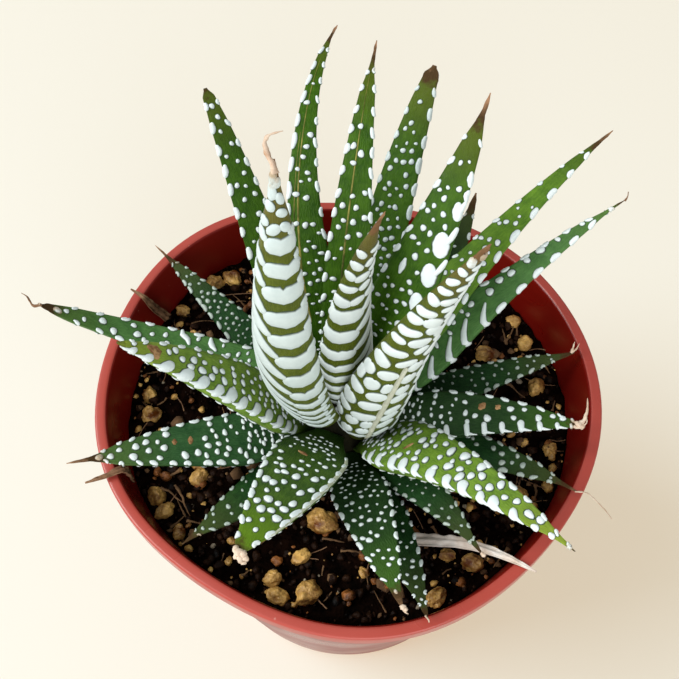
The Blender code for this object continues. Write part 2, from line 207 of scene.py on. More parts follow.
# Length that has broken off the tip
BROKEN_OFF = {"left_2": 4.8, "heart_left": 1.0}

# How far a leaf bows towards its right margin: half way, and at the tip
BOWS = {
    "heart_left": (0.9, 0.2), "heart_front": (0.1, 0.6), "heart_right": (0.1, 0.9),
    "back_1": (-0.3, -0.9), "back_2": (-0.7, -0.9), "back_4": (0.3, 0.8), "back_5": (0.3, -0.3),
    "back_6": (0.4, 0.5), "back_7": (-0.2, 0.6), "front_1": (0.0, 0.4),
}

# Leaves that are turned about their own length, in degrees
TWISTS = {"heart_right": 40}

# The three heart leaves show their backs. keel is the way round at which the keel runs low
# down, and keel_tip at the tip. A band's front panel reaches from the keel to panel, its
# flank from the keel to flank. The bands of a split leaf have come apart into lumps. bands
# and broken are places along the leaf: of the bands, and of the rows of lumps above them.
Heart = namedtuple("Heart", "keel panel flank keel_tip split bands broken")

HEARTS = {
    "heart_left": Heart(
        0.69, 0.565, 0.985, 0.83, False,
        (9, 11.5, 14, 16.5, 20, 24, 29, 34.3, 39.4, 43.8, 48.2, 52, 55.7),
        (57.9, 59.8, 61.7, 63.4),
    ),
    "heart_front": Heart(
        0.77, 1.01, 0.54, 0.68, False,
        (3.5, 5.5, 7.5, 10, 13, 16.3, 20.2, 25.2, 30.6),
        (34.6, 38.0, 41.2, 44.2, 47.2),
    ),
    "heart_right": Heart(
        0.755, 1.0, 0.545, 0.765, True,
        (6, 8.5, 11.5, 15, 18.5, 22.2, 26, 29.8, 33.4),
        (36.8, 40.0, 43.0, 45.9, 48.7, 51.4, 54, 56.5, 58.9, 61.2, 63.2),
    ),
}

# Single marks that stand out: their kind, half-width, how thin their ends are, and places
# along and round the leaf. A cup stands in for the band's own end on the right margin.
Mark = namedtuple("Mark", "kind half swell path")

MARKS = {
    "back_5": (
        Mark("cup", 1.55, 0.1, ((30.8, .115), (29.7, .10))),
        Mark("cup", 0.50, 0.3, ((31.0, .055), (32.2, .03), (33.4, .012))),
        Mark("cup", 1.45, 0.1, ((25.6, .115), (24.6, .10))),
        Mark("cup", 0.46, 0.3, ((25.8, .055), (27.0, .03), (28.2, .012))),
        Mark("cup", 1.30, 0.1, ((20.6, .12), (19.7, .105))),
        Mark("cup", 0.42, 0.3, ((20.8, .06), (21.9, .03), (23.0, .012))),
        Mark("cup", 0.95, 0.2, ((36.6, .075), (35.4, .055))),
        Mark("cup", 0.45, 0.4, ((36.0, .04), (37.6, .012))),
        Mark("cup", 0.90, 0.1, ((15.4, .16), (15.2, .11))),
        Mark("cup", 0.65, 0.5, ((42.0, .04), (40.6, .02))),
        Mark("cup", 0.60, 0.5, ((25.4, .36), (23.5, .35))),
        Mark("cup", 0.70, 0.5, ((10.2, .20), (9.6, .14))),
    ),
    "left_2": (
        Mark("ridge", 0.60, 0.5, ((27.0, .02), (26.8, .08), (25.8, .12), (25.4, .18))),
        Mark("ridge", 0.60, 0.5, ((21.8, .05), (21.5, .12), (20.6, .17))),
    ),
    "heart_right": (
        Mark("keel_line", 0.46, 0.3, ((6, .757), (18, .757), (28, .758), (36, .76))),
    ),
    "back_3": (Mark("vein", 0.13, 0.3, ((8, .30), (20, .305), (35, .29), (52, .28))),),
    "back_2": (
        Mark("vein", 0.12, 0.3, ((12, .34), (30, .345), (45, .30), (60, .27))),
        Mark("vein", 0.10, 0.3, ((10, .40), (25, .41), (44, .36))),
    ),
    "front_1": (
        Mark("pale_edge", 0.30, 0.3, ((8, .494), (15, .496), (22, .497), (30, .497))),
        Mark("scar", 0.40, 0.4, ((11.5, .18), (11.8, .23))),
    ),
    "left_4": (
        Mark("scar", 0.45, 0.4, ((22.4, .20), (22.6, .25))),
        Mark("scar", 0.45, 0.4, ((25.2, .20), (25.3, .23))),
    ),
    "right_3": (
        Mark("scar", 0.60, 0.4, ((20.4, .36), (20.0, .32))),
        Mark("scar", 0.50, 0.4, ((23.0, .36), (22.8, .34))),
    ),
    "right_1": (Mark("scar", 0.34, 0.4, ((18.4, .26), (17.8, .20))),),
    "left_3": (Mark("scar", 0.95, 0.5, ((40.6, .16), (39.6, .24), (39.8, .30))),),
}

# Finish of each kind of mark, and how far it stands off the skin
MARK_KINDS = {
    "cup": ("wax", 0.34), "ridge": ("wax", 0.34), "keel_line": ("keel_line", 0.50),
    "pale_edge": ("pale_edge", 0.30), "scar": ("scar", 0.08), "vein": ("vein", 0.05),
}

# Withered threads at the tips: finish, thickness, and the way each runs from the tip
Curl = namedtuple("Curl", "finish thickness path")

CURLS = {
    "heart_left": (
        Curl("straw", 1.0, (
            (0.20, -1.3, -0.8), (-0.30, -0.3, -0.1), (-0.80, 0.8, 0.5), (-0.95, 1.6, 0.9),
            (-0.60, 2.15, 1.2), (0.10, 2.4, 1.3), (0.95, 2.6, 1.4),
        )),
    ),
    "left_2": (
        Curl("brown_straw", 0.7, (
            (0.4, 0.0, -0.1), (-0.8, -0.2, -0.1), (-1.5, 0.45, 0.25), (-2.1, 1.2, 0.7),
            (-2.95, 1.7, 0.95),
        )),
    ),
    "back_7": (
        Curl("brown_straw", 0.4, ((-0.2, -0.2, 0.0), (0.34, 0.45, 0.25), (0.5, 1.2, 0.66))),
    ),
    "right_2": (
        Curl("straw", 0.34, (
            (-0.6, 0.2, 0.0), (1.3, -0.1, 0.1), (2.8, -1.2, -0.5), (4.3, -2.5, -1.3),
            (5.5, -3.9, -2.1),
        )),
    ),
    "right_3": (
        Curl("straw", 1.0, (
            (-0.8, 0.1, 0.0), (0.3, 0.6, 0.4), (0.85, 1.9, 1.0), (1.0, 3.0, 1.7), (1.0, 4.0, 2.2),
        )),
        Curl("straw", 0.8, (
            (-1.4, -0.2, 0.1), (-0.3, -0.5, 0.1), (0.6, 0.1, 0.4), (0.9, 1.0, 0.5),
        )),
    ),
    "right_4": (
        Curl("straw", 0.7, ((-0.6, 0.0, 0.0), (-0.2, 0.8, 0.5), (0.1, 1.8, 1.0))),
        Curl("straw", 0.5, ((-0.6, 0.0, 0.0), (0.3, 0.5, 0.5), (0.9, 1.4, 1.0))),
    ),
    "front_2": (Curl("straw", 0.5, ((-0.2, 0.3, 0.0), (0.2, -0.4, -0.2), (0.8, -0.8, -0.3))),),
    "front_3": (Curl("straw", 0.4, ((-0.4, 0.5, 0.1), (0.1, -0.1, 0.1), (0.2, -0.5, -0.1))),),
}

# Crumbled tips: place of each lump from the tip, and its radius
CRUMBLED = {
    "front_1": (
        (0.2, -0.1, 0.1, 0.75), (0.9, -0.3, 0.1, 0.70), (0.5, -0.9, -0.2, 0.66),
        (1.2, -0.8, -0.2, 0.60), (-0.2, 0.5, 0.2, 0.55), (-0.1, -0.6, 0.0, 0.50),
        (0.9, -1.3, -0.5, 0.45),
    ),
    "right_3": ((-0.5, 0.0, 0.1, 0.6), (0.0, -0.3, 0.0, 0.5), (-0.9, 0.3, 0.2, 0.5)),
    "front_2": ((0.0, 0.1, 0.0, 0.5), (0.4, -0.2, 0.0, 0.4)),
    "front_4": ((0.0, 0.0, 0.1, 0.4), (-0.2, 0.3, 0.1, 0.35)),
}

# Withered bits: the heading each runs in, its width, its finish, points from base to tip
Dry = namedtuple("Dry", "name heading width finish points")

DRY_LEAVES = (
    Dry("dry_leaf_left", 154, 2.0, "brown_straw", (
        (-36.3, 19.7, 67.4), (-37.0, 19.4, 69.5), (-37.9, 18.7, 72.5),
        (-38.4, 18.2, 75.3), (-39.2, 18.3, 77.0), (-41.7, 19.8, 77.4),
    )),
    Dry("dry_straw_left", 204, 1.6, "brown_straw", (
        (-37.6, -17.1, 72.0), (-37.7, -17.2, 75.2), (-38.5, -17.5, 76.9),
        (-41.1, -18.7, 76.8), (-44.1, -20.1, 77.3),
    )),
    Dry("dry_straw_right", -21, 2.3, "white_straw", (
        (8.6, -26.3, 67.7), (14.5, -26.9, 68.2), (19.0, -28.2, 71.0),
        (23.0, -30.6, 74.8), (26.5, -32.9, 76.8), (30.3, -34.9, 76.8),
    )),
)


def mix(a, b, share):
    return a + (b - a) * share


def smooth_step(value):
    value = np.clip(value, 0.0, 1.0)
    return value * value * (3.0 - 2.0 * value)


def ease(a, b, value):
    """From a to b, with soft ends, as value goes from 0 to 1."""
    return mix(a, b, float(smooth_step(value)))


def clamp(value):
    return min(max(value, 0.0), 1.0)


def turns(sides):
    """Angles of evenly spaced places round a ring."""
    return np.arange(sides) * 2 * math.pi / sides


def unit(vectors):
    return vectors / np.maximum(np.linalg.norm(vectors, axis=-1, keepdims=True), 1e-12)


# ---------------------------------------------------------------- node groups, finishes


def feed(tree, socket, value):
    """Sets a number or a colour on the socket, or links another node's output to it."""
    if isinstance(value, (int, float, tuple)):
        socket.default_value = value
    else:
        tree.links.new(value, socket)


def group_with(name, inputs, outputs):
    """An empty node group with named sockets, and its two end nodes."""
    tree = bpy.data.node_groups.new(name, "ShaderNodeTree")
    for label, kind, *default in inputs:
        socket = tree.interface.new_socket(
            label, in_out="INPUT", socket_type="NodeSocket" + kind
        )
        if default:
            socket.default_value = default[0]
    for label, kind in outputs:
        tree.interface.new_socket(label, in_out="OUTPUT", socket_type="NodeSocket" + kind)
    return tree, tree.nodes.new("NodeGroupInput"), tree.nodes.new("NodeGroupOutput")


def math_node(tree, operation, *values, clamped=False):
    node = tree.nodes.new("ShaderNodeMath")
    node.operation = operation
    node.use_clamp = clamped
    for socket, value in zip(node.inputs, values):
        feed(tree, socket, value)
    return node.outputs[0]


def mix_node(tree, share, a, b):
    node = tree.nodes.new("ShaderNodeMix")
    node.data_type = "RGBA"
    factor, colour_a, colour_b = (node.inputs[k] for k in (0, 6, 7))
    for socket, value in ((factor, share), (colour_a, a), (colour_b, b)):
        feed(tree, socket, value)
    return node.outputs[2]


def range_node(tree, value, low, high, out_low=0.0, out_high=1.0):
    node = tree.nodes.new("ShaderNodeMapRange")
    node.interpolation_type = "SMOOTHSTEP"
    feed(tree, node.inputs["Value"], value)
    limits = (("From Min", low), ("From Max", high), ("To Min", out_low), ("To Max", out_high))
    for label, number in limits:
        node.inputs[label].default_value = number
    return node.outputs[0]


def noise_node(tree, vector, scale, detail=3.0, roughness=0.55):
    node = tree.nodes.new("ShaderNodeTexNoise")
    settings = (("Detail", detail), ("Roughness", roughness), ("Scale", scale), ("Vector", vector))
    for label, value in settings:
        feed(tree, node.inputs[label], value)
    return node.outputs["Fac"]


def mottle_group():
    """Two tones mixed in soft patches, with a height for a bump."""
    tree, enter, leave = group_with(
        "Mottle",
        [
            ("Vector", "Vector"), ("Scale", "Float", 100.0), ("Contrast", "Float", 2.0),
            ("Dark", "Color"), ("Light", "Color"),
        ],
        [("Color", "Color"), ("Height", "Float")],
    )
    patches = noise_node(tree, enter.outputs["Vector"], enter.outputs["Scale"], 5.0, 0.6)
    spread = math_node(tree, "SUBTRACT", patches, 0.5)
    spread = math_node(tree, "MULTIPLY", spread, enter.outputs["Contrast"])
    share = math_node(tree, "ADD", spread, 0.5, clamped=True)
    colour = mix_node(tree, share, enter.outputs["Dark"], enter.outputs["Light"])
    tree.links.new(colour, leave.inputs["Color"])
    tree.links.new(share, leave.inputs["Height"])
    return tree


def grain_group():
    """Fine lengthwise grain of a leaf: pale flecks, and streaks drawn out along it."""
    tree, enter, leave = group_with(
        "Leaf grain",
        [("Along", "Float", 0.0), ("Round", "Float", 0.0), ("Fineness", "Float", 1.0)],
        [("Flecks", "Float"), ("Streaks", "Float")],
    )
    for label, across, along, detail in (("Flecks", 2.6, 1.1, 3.0), ("Streaks", 1.1, 0.07, 2.0)):
        place = tree.nodes.new("ShaderNodeCombineXYZ")
        wide = math_node(tree, "MULTIPLY", enter.outputs["Round"], across)
        long = math_node(tree, "MULTIPLY", enter.outputs["Along"], along)
        tree.links.new(wide, place.inputs["X"])
        tree.links.new(long, place.inputs["Y"])
        value = noise_node(tree, place.outputs[0], enter.outputs["Fineness"], detail)
        tree.links.new(range_node(tree, value, 0.42, 0.66), leave.inputs[label])
    return tree


def wither_group():
    """Browns a colour where the leaf has dried, with a ragged edge. Past is the distance
    beyond the place where the dried end starts."""
    tree, enter, leave = group_with(
        "Withered end",
        [
            ("Vector", "Vector"), ("Past", "Float", 0.0), ("Color", "Color"),
            ("Brown", "Color"), ("Tan", "Color"),
        ],
        [("Color", "Color"), ("Dryness", "Float")],
    )
    ragged = noise_node(tree, enter.outputs["Vector"], 900.0, 3.0)
    ragged = math_node(tree, "MULTIPLY", math_node(tree, "SUBTRACT", ragged, 0.5), 5.0)
    past = math_node(tree, "ADD", enter.outputs["Past"], ragged)
    dryness = range_node(tree, past, -1.0, 1.2)
    older = range_node(tree, past, 1.6, 6.5)
    dead = mix_node(tree, older, enter.outputs["Brown"], enter.outputs["Tan"])
    colour = mix_node(tree, dryness, enter.outputs["Color"], dead)
    tree.links.new(colour, leave.inputs["Color"])
    tree.links.new(dryness, leave.inputs["Dryness"])
    return tree


GROUPS = {"mottle": mottle_group(), "grain": grain_group(), "wither": wither_group()}


class Finish:
    """A material under construction: its tree, its shader and short ways to link them."""

    def __init__(self, name, roughness, shine=0.5):
        self.material = bpy.data.materials.new(name)
        self.material.use_nodes = True
        self.tree = self.material.node_tree
        self.shader = self.tree.nodes["Principled BSDF"]
        self.shader.inputs["Roughness"].default_value = roughness
        self.shader.inputs["Specular IOR Level"].default_value = shine

    def group(self, key, **values):
        node = self.tree.nodes.new("ShaderNodeGroup")
        node.node_tree = GROUPS[key]
        for label, value in values.items():
            feed(self.tree, node.inputs[label], value)
        return node.outputs

    def place(self):
        return self.tree.nodes.new("ShaderNodeTexCoord").outputs["Object"]

    def drawn(self, name):
        """The two numbers of a UV map: X and Y."""
        chart = self.tree.nodes.new("ShaderNodeUVMap")
        chart.uv_map = name
        apart = self.tree.nodes.new("ShaderNodeSeparateXYZ")
        self.tree.links.new(chart.outputs[0], apart.inputs[0])
        return apart.outputs[0], apart.outputs[1]

    def link(self, value, label):
        self.tree.links.new(value, self.shader.inputs[label])

    def bump(self, height, distance, strength=1.0):
        node = self.tree.nodes.new("ShaderNodeBump")
        node.inputs["Strength"].default_value = strength
        node.inputs["Distance"].default_value = distance
        self.tree.links.new(height, node.inputs["Height"])
        self.link(node.outputs[0], "Normal")


def rgb(*tone):
    return (*tone, 1.0)


def leaf_finish(name, deep, light, foot, faded, brown=rgb(0.062, 0.034, 0.012)):
    """Green skin: grain along the leaf, a smooth foot that is partly its own darker green and
    partly painted shade, a faded stretch, a withered end.
    """
    finish = Finish(name, roughness=0.42, shine=0.12)
    tree = finish.tree
    place = finish.place()
    along, past = finish.drawn("Along")
    wide, _ = finish.drawn("Round")
    patches = finish.group(
        "mottle", Vector=place, Scale=420.0, Contrast=2.0, Dark=deep, Light=light
    )
    grain = finish.group("grain", Along=along, Round=wide, Fineness=1.0)
    flecked = math_node(tree, "MULTIPLY", grain["Flecks"], 0.5)
    colour = mix_node(tree, flecked, patches["Color"], light)
    streaked = math_node(tree, "MULTIPLY", grain["Streaks"], 0.25)
    colour = mix_node(tree, streaked, colour, deep)
    # Towards the foot the green darkens: partly the leaf's own colour, partly painted shade of the
    # crown
    foot_green_and_shade = range_node(tree, along, 3.0, 14.0, 0.75, 0.0)
    colour = mix_node(tree, foot_green_and_shade, colour, foot)
    near_end = range_node(tree, past, -13.0, 0.5, 0.0, 0.6)
    colour = mix_node(tree, near_end, colour, faded)
    dried = finish.group(
        "wither", Vector=place, Past=past, Color=colour, Brown=brown, Tan=rgb(0.40, 0.22, 0.12)
    )
    finish.link(dried["Color"], "Base Color")
    finish.link(math_node(tree, "MULTIPLY_ADD", dried["Dryness"], 0.4, 0.38), "Roughness")
    height = math_node(tree, "ADD", grain["Flecks"], patches["Height"])
    finish.bump(height, distance=0.00006, strength=0.8)
    return finish.material


def wax_finish(name, dark, light):
    """Bluish white wax, turning dark green at the foot of each wart as painted shade,
    straw-coloured on a dried end.
    """
    finish = Finish(name, roughness=0.36)
    tree = finish.tree
    place = finish.place()
    _, past = finish.drawn("Along")
    _, rim = finish.drawn("Round")
    body = finish.group("mottle", Vector=place, Scale=700.0, Contrast=1.2, Dark=dark, Light=light)
    # Painted shade: where the rim share passes 0.8, out to the halo under the skin, the wax turns
    # dark green
    painted_foot_shade = range_node(tree, rim, 0.80, 1.02)
    colour = mix_node(tree, painted_foot_shade, body["Color"], rgb(0.014, 0.040, 0.010))
    dried = finish.group(
        "wither", Vector=place, Past=past, Color=colour,
        Brown=rgb(0.42, 0.33, 0.22), Tan=rgb(0.62, 0.48, 0.34),
    )
    finish.link(dried["Color"], "Base Color")
    finish.bump(body["Height"], distance=0.00004, strength=0.6)
    return finish.material


def mottled_finish(name, dark, light, scale, roughness, relief, contrast=2.0, shine=0.2):
    """A plain two-tone finish with its own relief."""
    finish = Finish(name, roughness, shine)
    tones = finish.group(
        "mottle", Vector=finish.place(), Scale=scale, Contrast=contrast, Dark=dark, Light=light
    )
    finish.link(tones["Color"], "Base Color")
    finish.bump(tones["Height"], relief)
    return finish.material


def pot_finish(name, dark, light):
    """Brick red moulded plastic, dusty, with a few pale scuffs. In its darker tones on the inner
    wall it is painted shade.
    """
    finish = Finish(name, roughness=0.38)
    tree = finish.tree
    place = finish.place()
    tones = finish.group("mottle", Vector=place, Scale=45.0, Contrast=1.0, Dark=dark, Light=light)
    specks = noise_node(tree, place, 700.0, 4.0, 0.7)
    patches = noise_node(tree, place, 60.0, 2.0)
    scuffed = range_node(tree, patches, 0.5, 0.62)
    scuffs = math_node(tree, "MULTIPLY", range_node(tree, specks, 0.68, 0.76), scuffed)
    share = math_node(tree, "MULTIPLY", scuffs, 0.6)
    finish.link(mix_node(tree, share, tones["Color"], rgb(0.75, 0.45, 0.38)), "Base Color")
    finish.link(range_node(tree, patches, 0.3, 0.7, 0.26, 0.42), "Roughness")
    finish.bump(noise_node(tree, place, 260.0, 4.0), distance=0.00003)
    return finish.material


# Skins: the darker and the lighter green, the foot (its own darker green and painted shade of the
# crown), the stretch before the dried end, and the brown of that end where it isn't the usual one
SKINS = {
    "heart": (
        (0.050, 0.072, 0.006), (0.12, 0.155, 0.014), (0.060, 0.080, 0.010), (0.16, 0.11, 0.04),
        (0.19, 0.10, 0.045),
    ),
    "bright": (
        (0.050, 0.125, 0.004), (0.17, 0.31, 0.012), (0.025, 0.070, 0.003), (0.20, 0.26, 0.02),
    ),
    "mid": (
        (0.014, 0.056, 0.003), (0.060, 0.150, 0.007), (0.016, 0.050, 0.003), (0.10, 0.11, 0.01),
    ),
    "deep": (
        (0.005, 0.027, 0.009), (0.021, 0.080, 0.018), (0.008, 0.030, 0.004), (0.07, 0.08, 0.02),
    ),
    "dark_tipped": (
        (0.045, 0.120, 0.010), (0.15, 0.30, 0.024), (0.025, 0.070, 0.006), (0.020, 0.026, 0.004),
    ),
    # This tone and the one after the next are painted shade: darker, bluer copies of bright and mid
    "shaded": (
        (0.016, 0.050, 0.012), (0.080, 0.155, 0.022), (0.016, 0.050, 0.006), (0.16, 0.30, 0.010),
    ),
    "shaded_mid": (
        (0.008, 0.030, 0.009), (0.026, 0.070, 0.018), (0.010, 0.030, 0.005), (0.06, 0.15, 0.012),
    ),
    "fresh": (
        (0.078, 0.175, 0.024), (0.28, 0.44, 0.060), (0.012, 0.040, 0.002), (0.30, 0.36, 0.04),
    ),
    "silver": (
        (0.040, 0.118, 0.030), (0.105, 0.250, 0.066), (0.008, 0.030, 0.006), (0.08, 0.14, 0.020),
    ),
    "blue_green": (
        (0.014, 0.060, 0.018), (0.050, 0.135, 0.045), (0.008, 0.030, 0.006), (0.10, 0.17, 0.035),
    ),
    "spring": (
        (0.060, 0.140, 0.016), (0.22, 0.38, 0.040), (0.020, 0.055, 0.004), (0.30, 0.36, 0.04),
    ),
}

# Dark and light tone
WAX_TONES = {
    "white_wax": ((0.64, 0.74, 0.75), (0.82, 0.90, 0.90)),
    "dim_wax": ((0.30, 0.38, 0.33), (0.50, 0.58, 0.53)),
    "soft_wax": ((0.48, 0.58, 0.58), (0.66, 0.75, 0.74)),
}
# The second entry is the same plastic much darker: painted shade on the inner wall
POT_TONES = {
    "pot_plastic": ((0.37, 0.048, 0.034), (0.47, 0.078, 0.056)),
    "pot_inside_painted_shade": ((0.16, 0.0045, 0.0018), (0.23, 0.008, 0.004)),
}

# Dark and light tone, scale, roughness, depth of relief, contrast, shine
MOTTLED = {
    "keel_line": ((0.34, 0.36, 0.26), (0.72, 0.74, 0.62), 500.0, 0.5, 0.00005, 1.4),
    "vein": ((0.045, 0.060, 0.008), (0.34, 0.30, 0.07), 260.0, 0.6, 0.00005, 3.4),
    "pale_edge": ((0.30, 0.34, 0.22), (0.62, 0.66, 0.52), 500.0, 0.6, 0.00005, 1.4),
    "soil": ((0.0004, 0.0002, 0.0001), (0.008, 0.003, 0.0015), 420.0, 1.0, 0.0006, 3.0, 0.03),
    "crumbs": ((0.0006, 0.0003, 0.0002), (0.030, 0.011, 0.004), 300.0, 0.55, 0.0004, 3.8, 0.12),
    "pumice": ((0.13, 0.034, 0.003), (0.98, 0.60, 0.17), 300.0, 0.34, 0.0005, 3.2, 0.5),
    "rusty_grit": ((0.020, 0.006, 0.002), (0.40, 0.14, 0.03), 400.0, 0.4, 0.0004, 3.4, 0.4),
    "grey_stone": ((0.08, 0.06, 0.04), (0.42, 0.36, 0.26), 400.0, 0.6, 0.0003, 2.6),
    "bark": ((0.045, 0.022, 0.010), (0.30, 0.17, 0.08), 240.0, 0.9, 0.0003, 2.4),
    "stem": ((0.004, 0.005, 0.002), (0.025, 0.022, 0.008), 300.0, 0.9, 0.0003),
    "straw": ((0.46, 0.28, 0.17), (0.86, 0.74, 0.60), 600.0, 0.75, 0.0001, 2.2),
    "white_straw": ((0.52, 0.38, 0.27), (0.97, 0.94, 0.90), 260.0, 0.6, 0.0002, 1.8),
    "brown_straw": ((0.10, 0.045, 0.022), (0.38, 0.22, 0.12), 420.0, 0.8, 0.0002),
    "scar": ((0.15, 0.060, 0.020), (0.60, 0.36, 0.17), 700.0, 0.85, 0.0002, 3.2),
}


def make_finishes():
    made = {}
    for kind, tones in SKINS.items():
        made[kind + "_leaf"] = leaf_finish(kind + "_leaf", *(rgb(*tone) for tone in tones))
    for name, (dark, light) in WAX_TONES.items():
        made[name] = wax_finish(name, rgb(*dark), rgb(*light))
    for name, (dark, light, *rest) in MOTTLED.items():
        made[name] = mottled_finish(name, rgb(*dark), rgb(*light), *rest)
    for name, (dark, light) in POT_TONES.items():
        made[name] = pot_finish(name, rgb(*dark), rgb(*light))
    return made


FINISHES = make_finishes()


# ------------------------------------------------------------------------ mesh building


def put_in_scene(name, data):
    thing = bpy.data.objects.new(name, data)
    bpy.context.scene.collection.objects.link(thing)
    return thing


class Fabric:
    """Vertices and faces of one piece, kept in millimetres until it is made."""

    def __init__(self, *finishes):
        self.finishes = finishes
        self.points, self.faces, self.marks, self.charts = [], [], [], []
        self.count = 0

    def add(self, points, faces, finish=0, along=None, rounds=None):
        """points (n, 3); faces, arrays of corners; along and rounds, (n, 2) charts."""
        points = np.asarray(points, float).reshape(-1, 3)
        blank = np.zeros((len(points), 2))
        charts = [
            blank if chart is None else np.asarray(chart, float).reshape(-1, 2)
            for chart in (along, rounds)
        ]
        each = finish if isinstance(finish, list) else [finish] * len(faces)
        for some, mark in zip(faces, each):
            some = np.asarray(some, int)
            self.faces.append(some + self.count)
            self.marks.append(np.full(len(some), mark))
        self.points.append(points)
        self.charts.append(np.hstack(charts))
        self.count += len(points)

    def make(self, name, slot, *nodes):
        """One piece that rides on the body and may stand for CAD nodes."""
        mesh = bpy.data.meshes.new(name)
        points = np.vstack(self.points) * MM
        sizes = np.concatenate([np.full(len(some), some.shape[1]) for some in self.faces])
        corners = np.concatenate([some.ravel() for some in self.faces])
        mesh.vertices.add(len(points))
        mesh.vertices.foreach_set("co", points.ravel())
        mesh.loops.add(len(corners))
        mesh.loops.foreach_set("vertex_index", corners)
        mesh.polygons.add(len(sizes))
        starts = np.concatenate([[0], np.cumsum(sizes)[:-1]])
        mesh.polygons.foreach_set("loop_start", starts)
        mesh.update(calc_edges=True)
        for finish in self.finishes:
            mesh.materials.append(FINISHES[finish])
        mesh.polygons.foreach_set("material_index", np.concatenate(self.marks))
        charts = np.vstack(self.charts)[corners]
        for label, columns in (("Along", (0, 1)), ("Round", (2, 3))):
            layer = mesh.uv_layers.new(name=label)
            layer.uv.foreach_set("vector", charts[:, columns].ravel())
        mesh.shade_smooth()
        mesh.validate()
        piece = put_in_scene(name, mesh)
        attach(piece, BODY)
        if nodes:
            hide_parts(*nodes)
        return piece


def grid_faces(rows, columns, around):
    """Corners of a grid of rows x columns points; around closes each row on itself."""
    index = np.arange(rows * columns).reshape(rows, columns)
    if around:
        index = np.hstack([index, index[:, :1]])
    low, high = index[:-1], index[1:]
    return np.stack([low[:, :-1], low[:, 1:], high[:, 1:], high[:, :-1]], -1).reshape(-1, 4)


def tube_faces(rows, sides, flipped=False):
    """Faces of a tube of rows rings, with a flat face across each end."""
    ring = np.arange(sides)[None]
    faces = [grid_faces(rows, sides, True), ring[:, ::-1], ring + (rows - 1) * sides]
    return [some[:, ::-1] for some in faces] if flipped else faces


def repeated(faces, count, stride):
    """The same faces for count copies whose points follow each other."""
    return (faces[None] + (np.arange(count) * stride)[:, None, None]).reshape(-1, faces.shape[1])


# --------------------------------------------------------------------------- leaf forms

# The finishes of a grown leaf, in their order: its own skin and wax come first
LEAF_PARTS = ("skin", "wax", "pale_edge", "keel_line", "scar", "vein", "straw", "brown_straw")
SKIN, WAX = 0, 1

NECK_SPREAD = 1.6           # how far above the neck a leaf has its full width, in necks
TAPER_START = 0.3           # share of the length at which a leaf starts to narrow
TIP_ROUNDING = 1.6          # length over which the very end closes
BRISTLE_RUN = 8.0           # length over which a leaf narrows into its bristle
FACE_DEPTH = 0.10           # how far the face bulges, as a share of the back
SHRIVEL, SINK = 0.22, 0.35  # how strongly a dried end wrinkles, and how much flatter it is


def stem_radius(z):
    share = clamp((z - STEM_FOOT) / (STEM_TOP - STEM_FOOT))
    return mix(STEM_FOOT_RADIUS, STEM_TOP_RADIUS, share ** 1.2)


def neck_length(leaf):
    low, high = NECK_HEIGHTS
    return mix(LOW_NECK, HIGH_NECK, clamp((leaf.height - low) / (high - low)))


def leaf_width(leaf, share, tip_width):
    neck = neck_length(leaf) / leaf.length
    rise = mix(NECK_WIDTH, 1.0, smooth_step(share / (NECK_SPREAD * neck)))
    past = np.clip(share - TAPER_START, 0.0, 1.0) / (1 - TAPER_START)
    return mix(tip_width, leaf.width * rise, 1.0 - past ** leaf.fullness)


def directions(leaf, share):
    """Level, along and inward directions at shares of the length."""
    rise = np.radians(mix(leaf.rise, leaf.tip_rise, share))
    turn = np.radians(leaf.turn + leaf.sweep * share)
    level = np.stack([np.cos(turn), np.sin(turn), 0 * turn], -1)
    up = np.array([0.0, 0.0, 1.0])
    along = level * np.cos(rise)[:, None] + up * np.sin(rise)[:, None]
    inward = up * np.cos(rise)[:, None] - level * np.sin(rise)[:, None]
    return np.cross(along, inward), along, inward


def leaf_spine(leaf):
    """The solid's own stepped spine, and the shares at which its points lie."""
    per_band = 3 if leaf.kind == "heart" else 2
    steps = round(leaf.length / BAND_PITCH) * per_band
    share = np.linspace(0, 1, steps + 1)
    depth = BACK_DEPTH * NECK_WIDTH * leaf.width
    rise, turn = math.radians(leaf.rise), math.radians(leaf.turn)
    reach = max(
        stem_radius(leaf.height) + GAP,
        stem_radius(leaf.height - depth * math.cos(rise)) + GAP - depth * math.sin(rise),
    )
    start = [PLANT[0] + reach * math.cos(turn), PLANT[1] + reach * math.sin(turn), leaf.height]
    _, along, _ = directions(leaf, share[:-1])
    points = np.vstack([np.zeros(3), np.cumsum(along, 0) * leaf.length / steps])
    return share, points + start


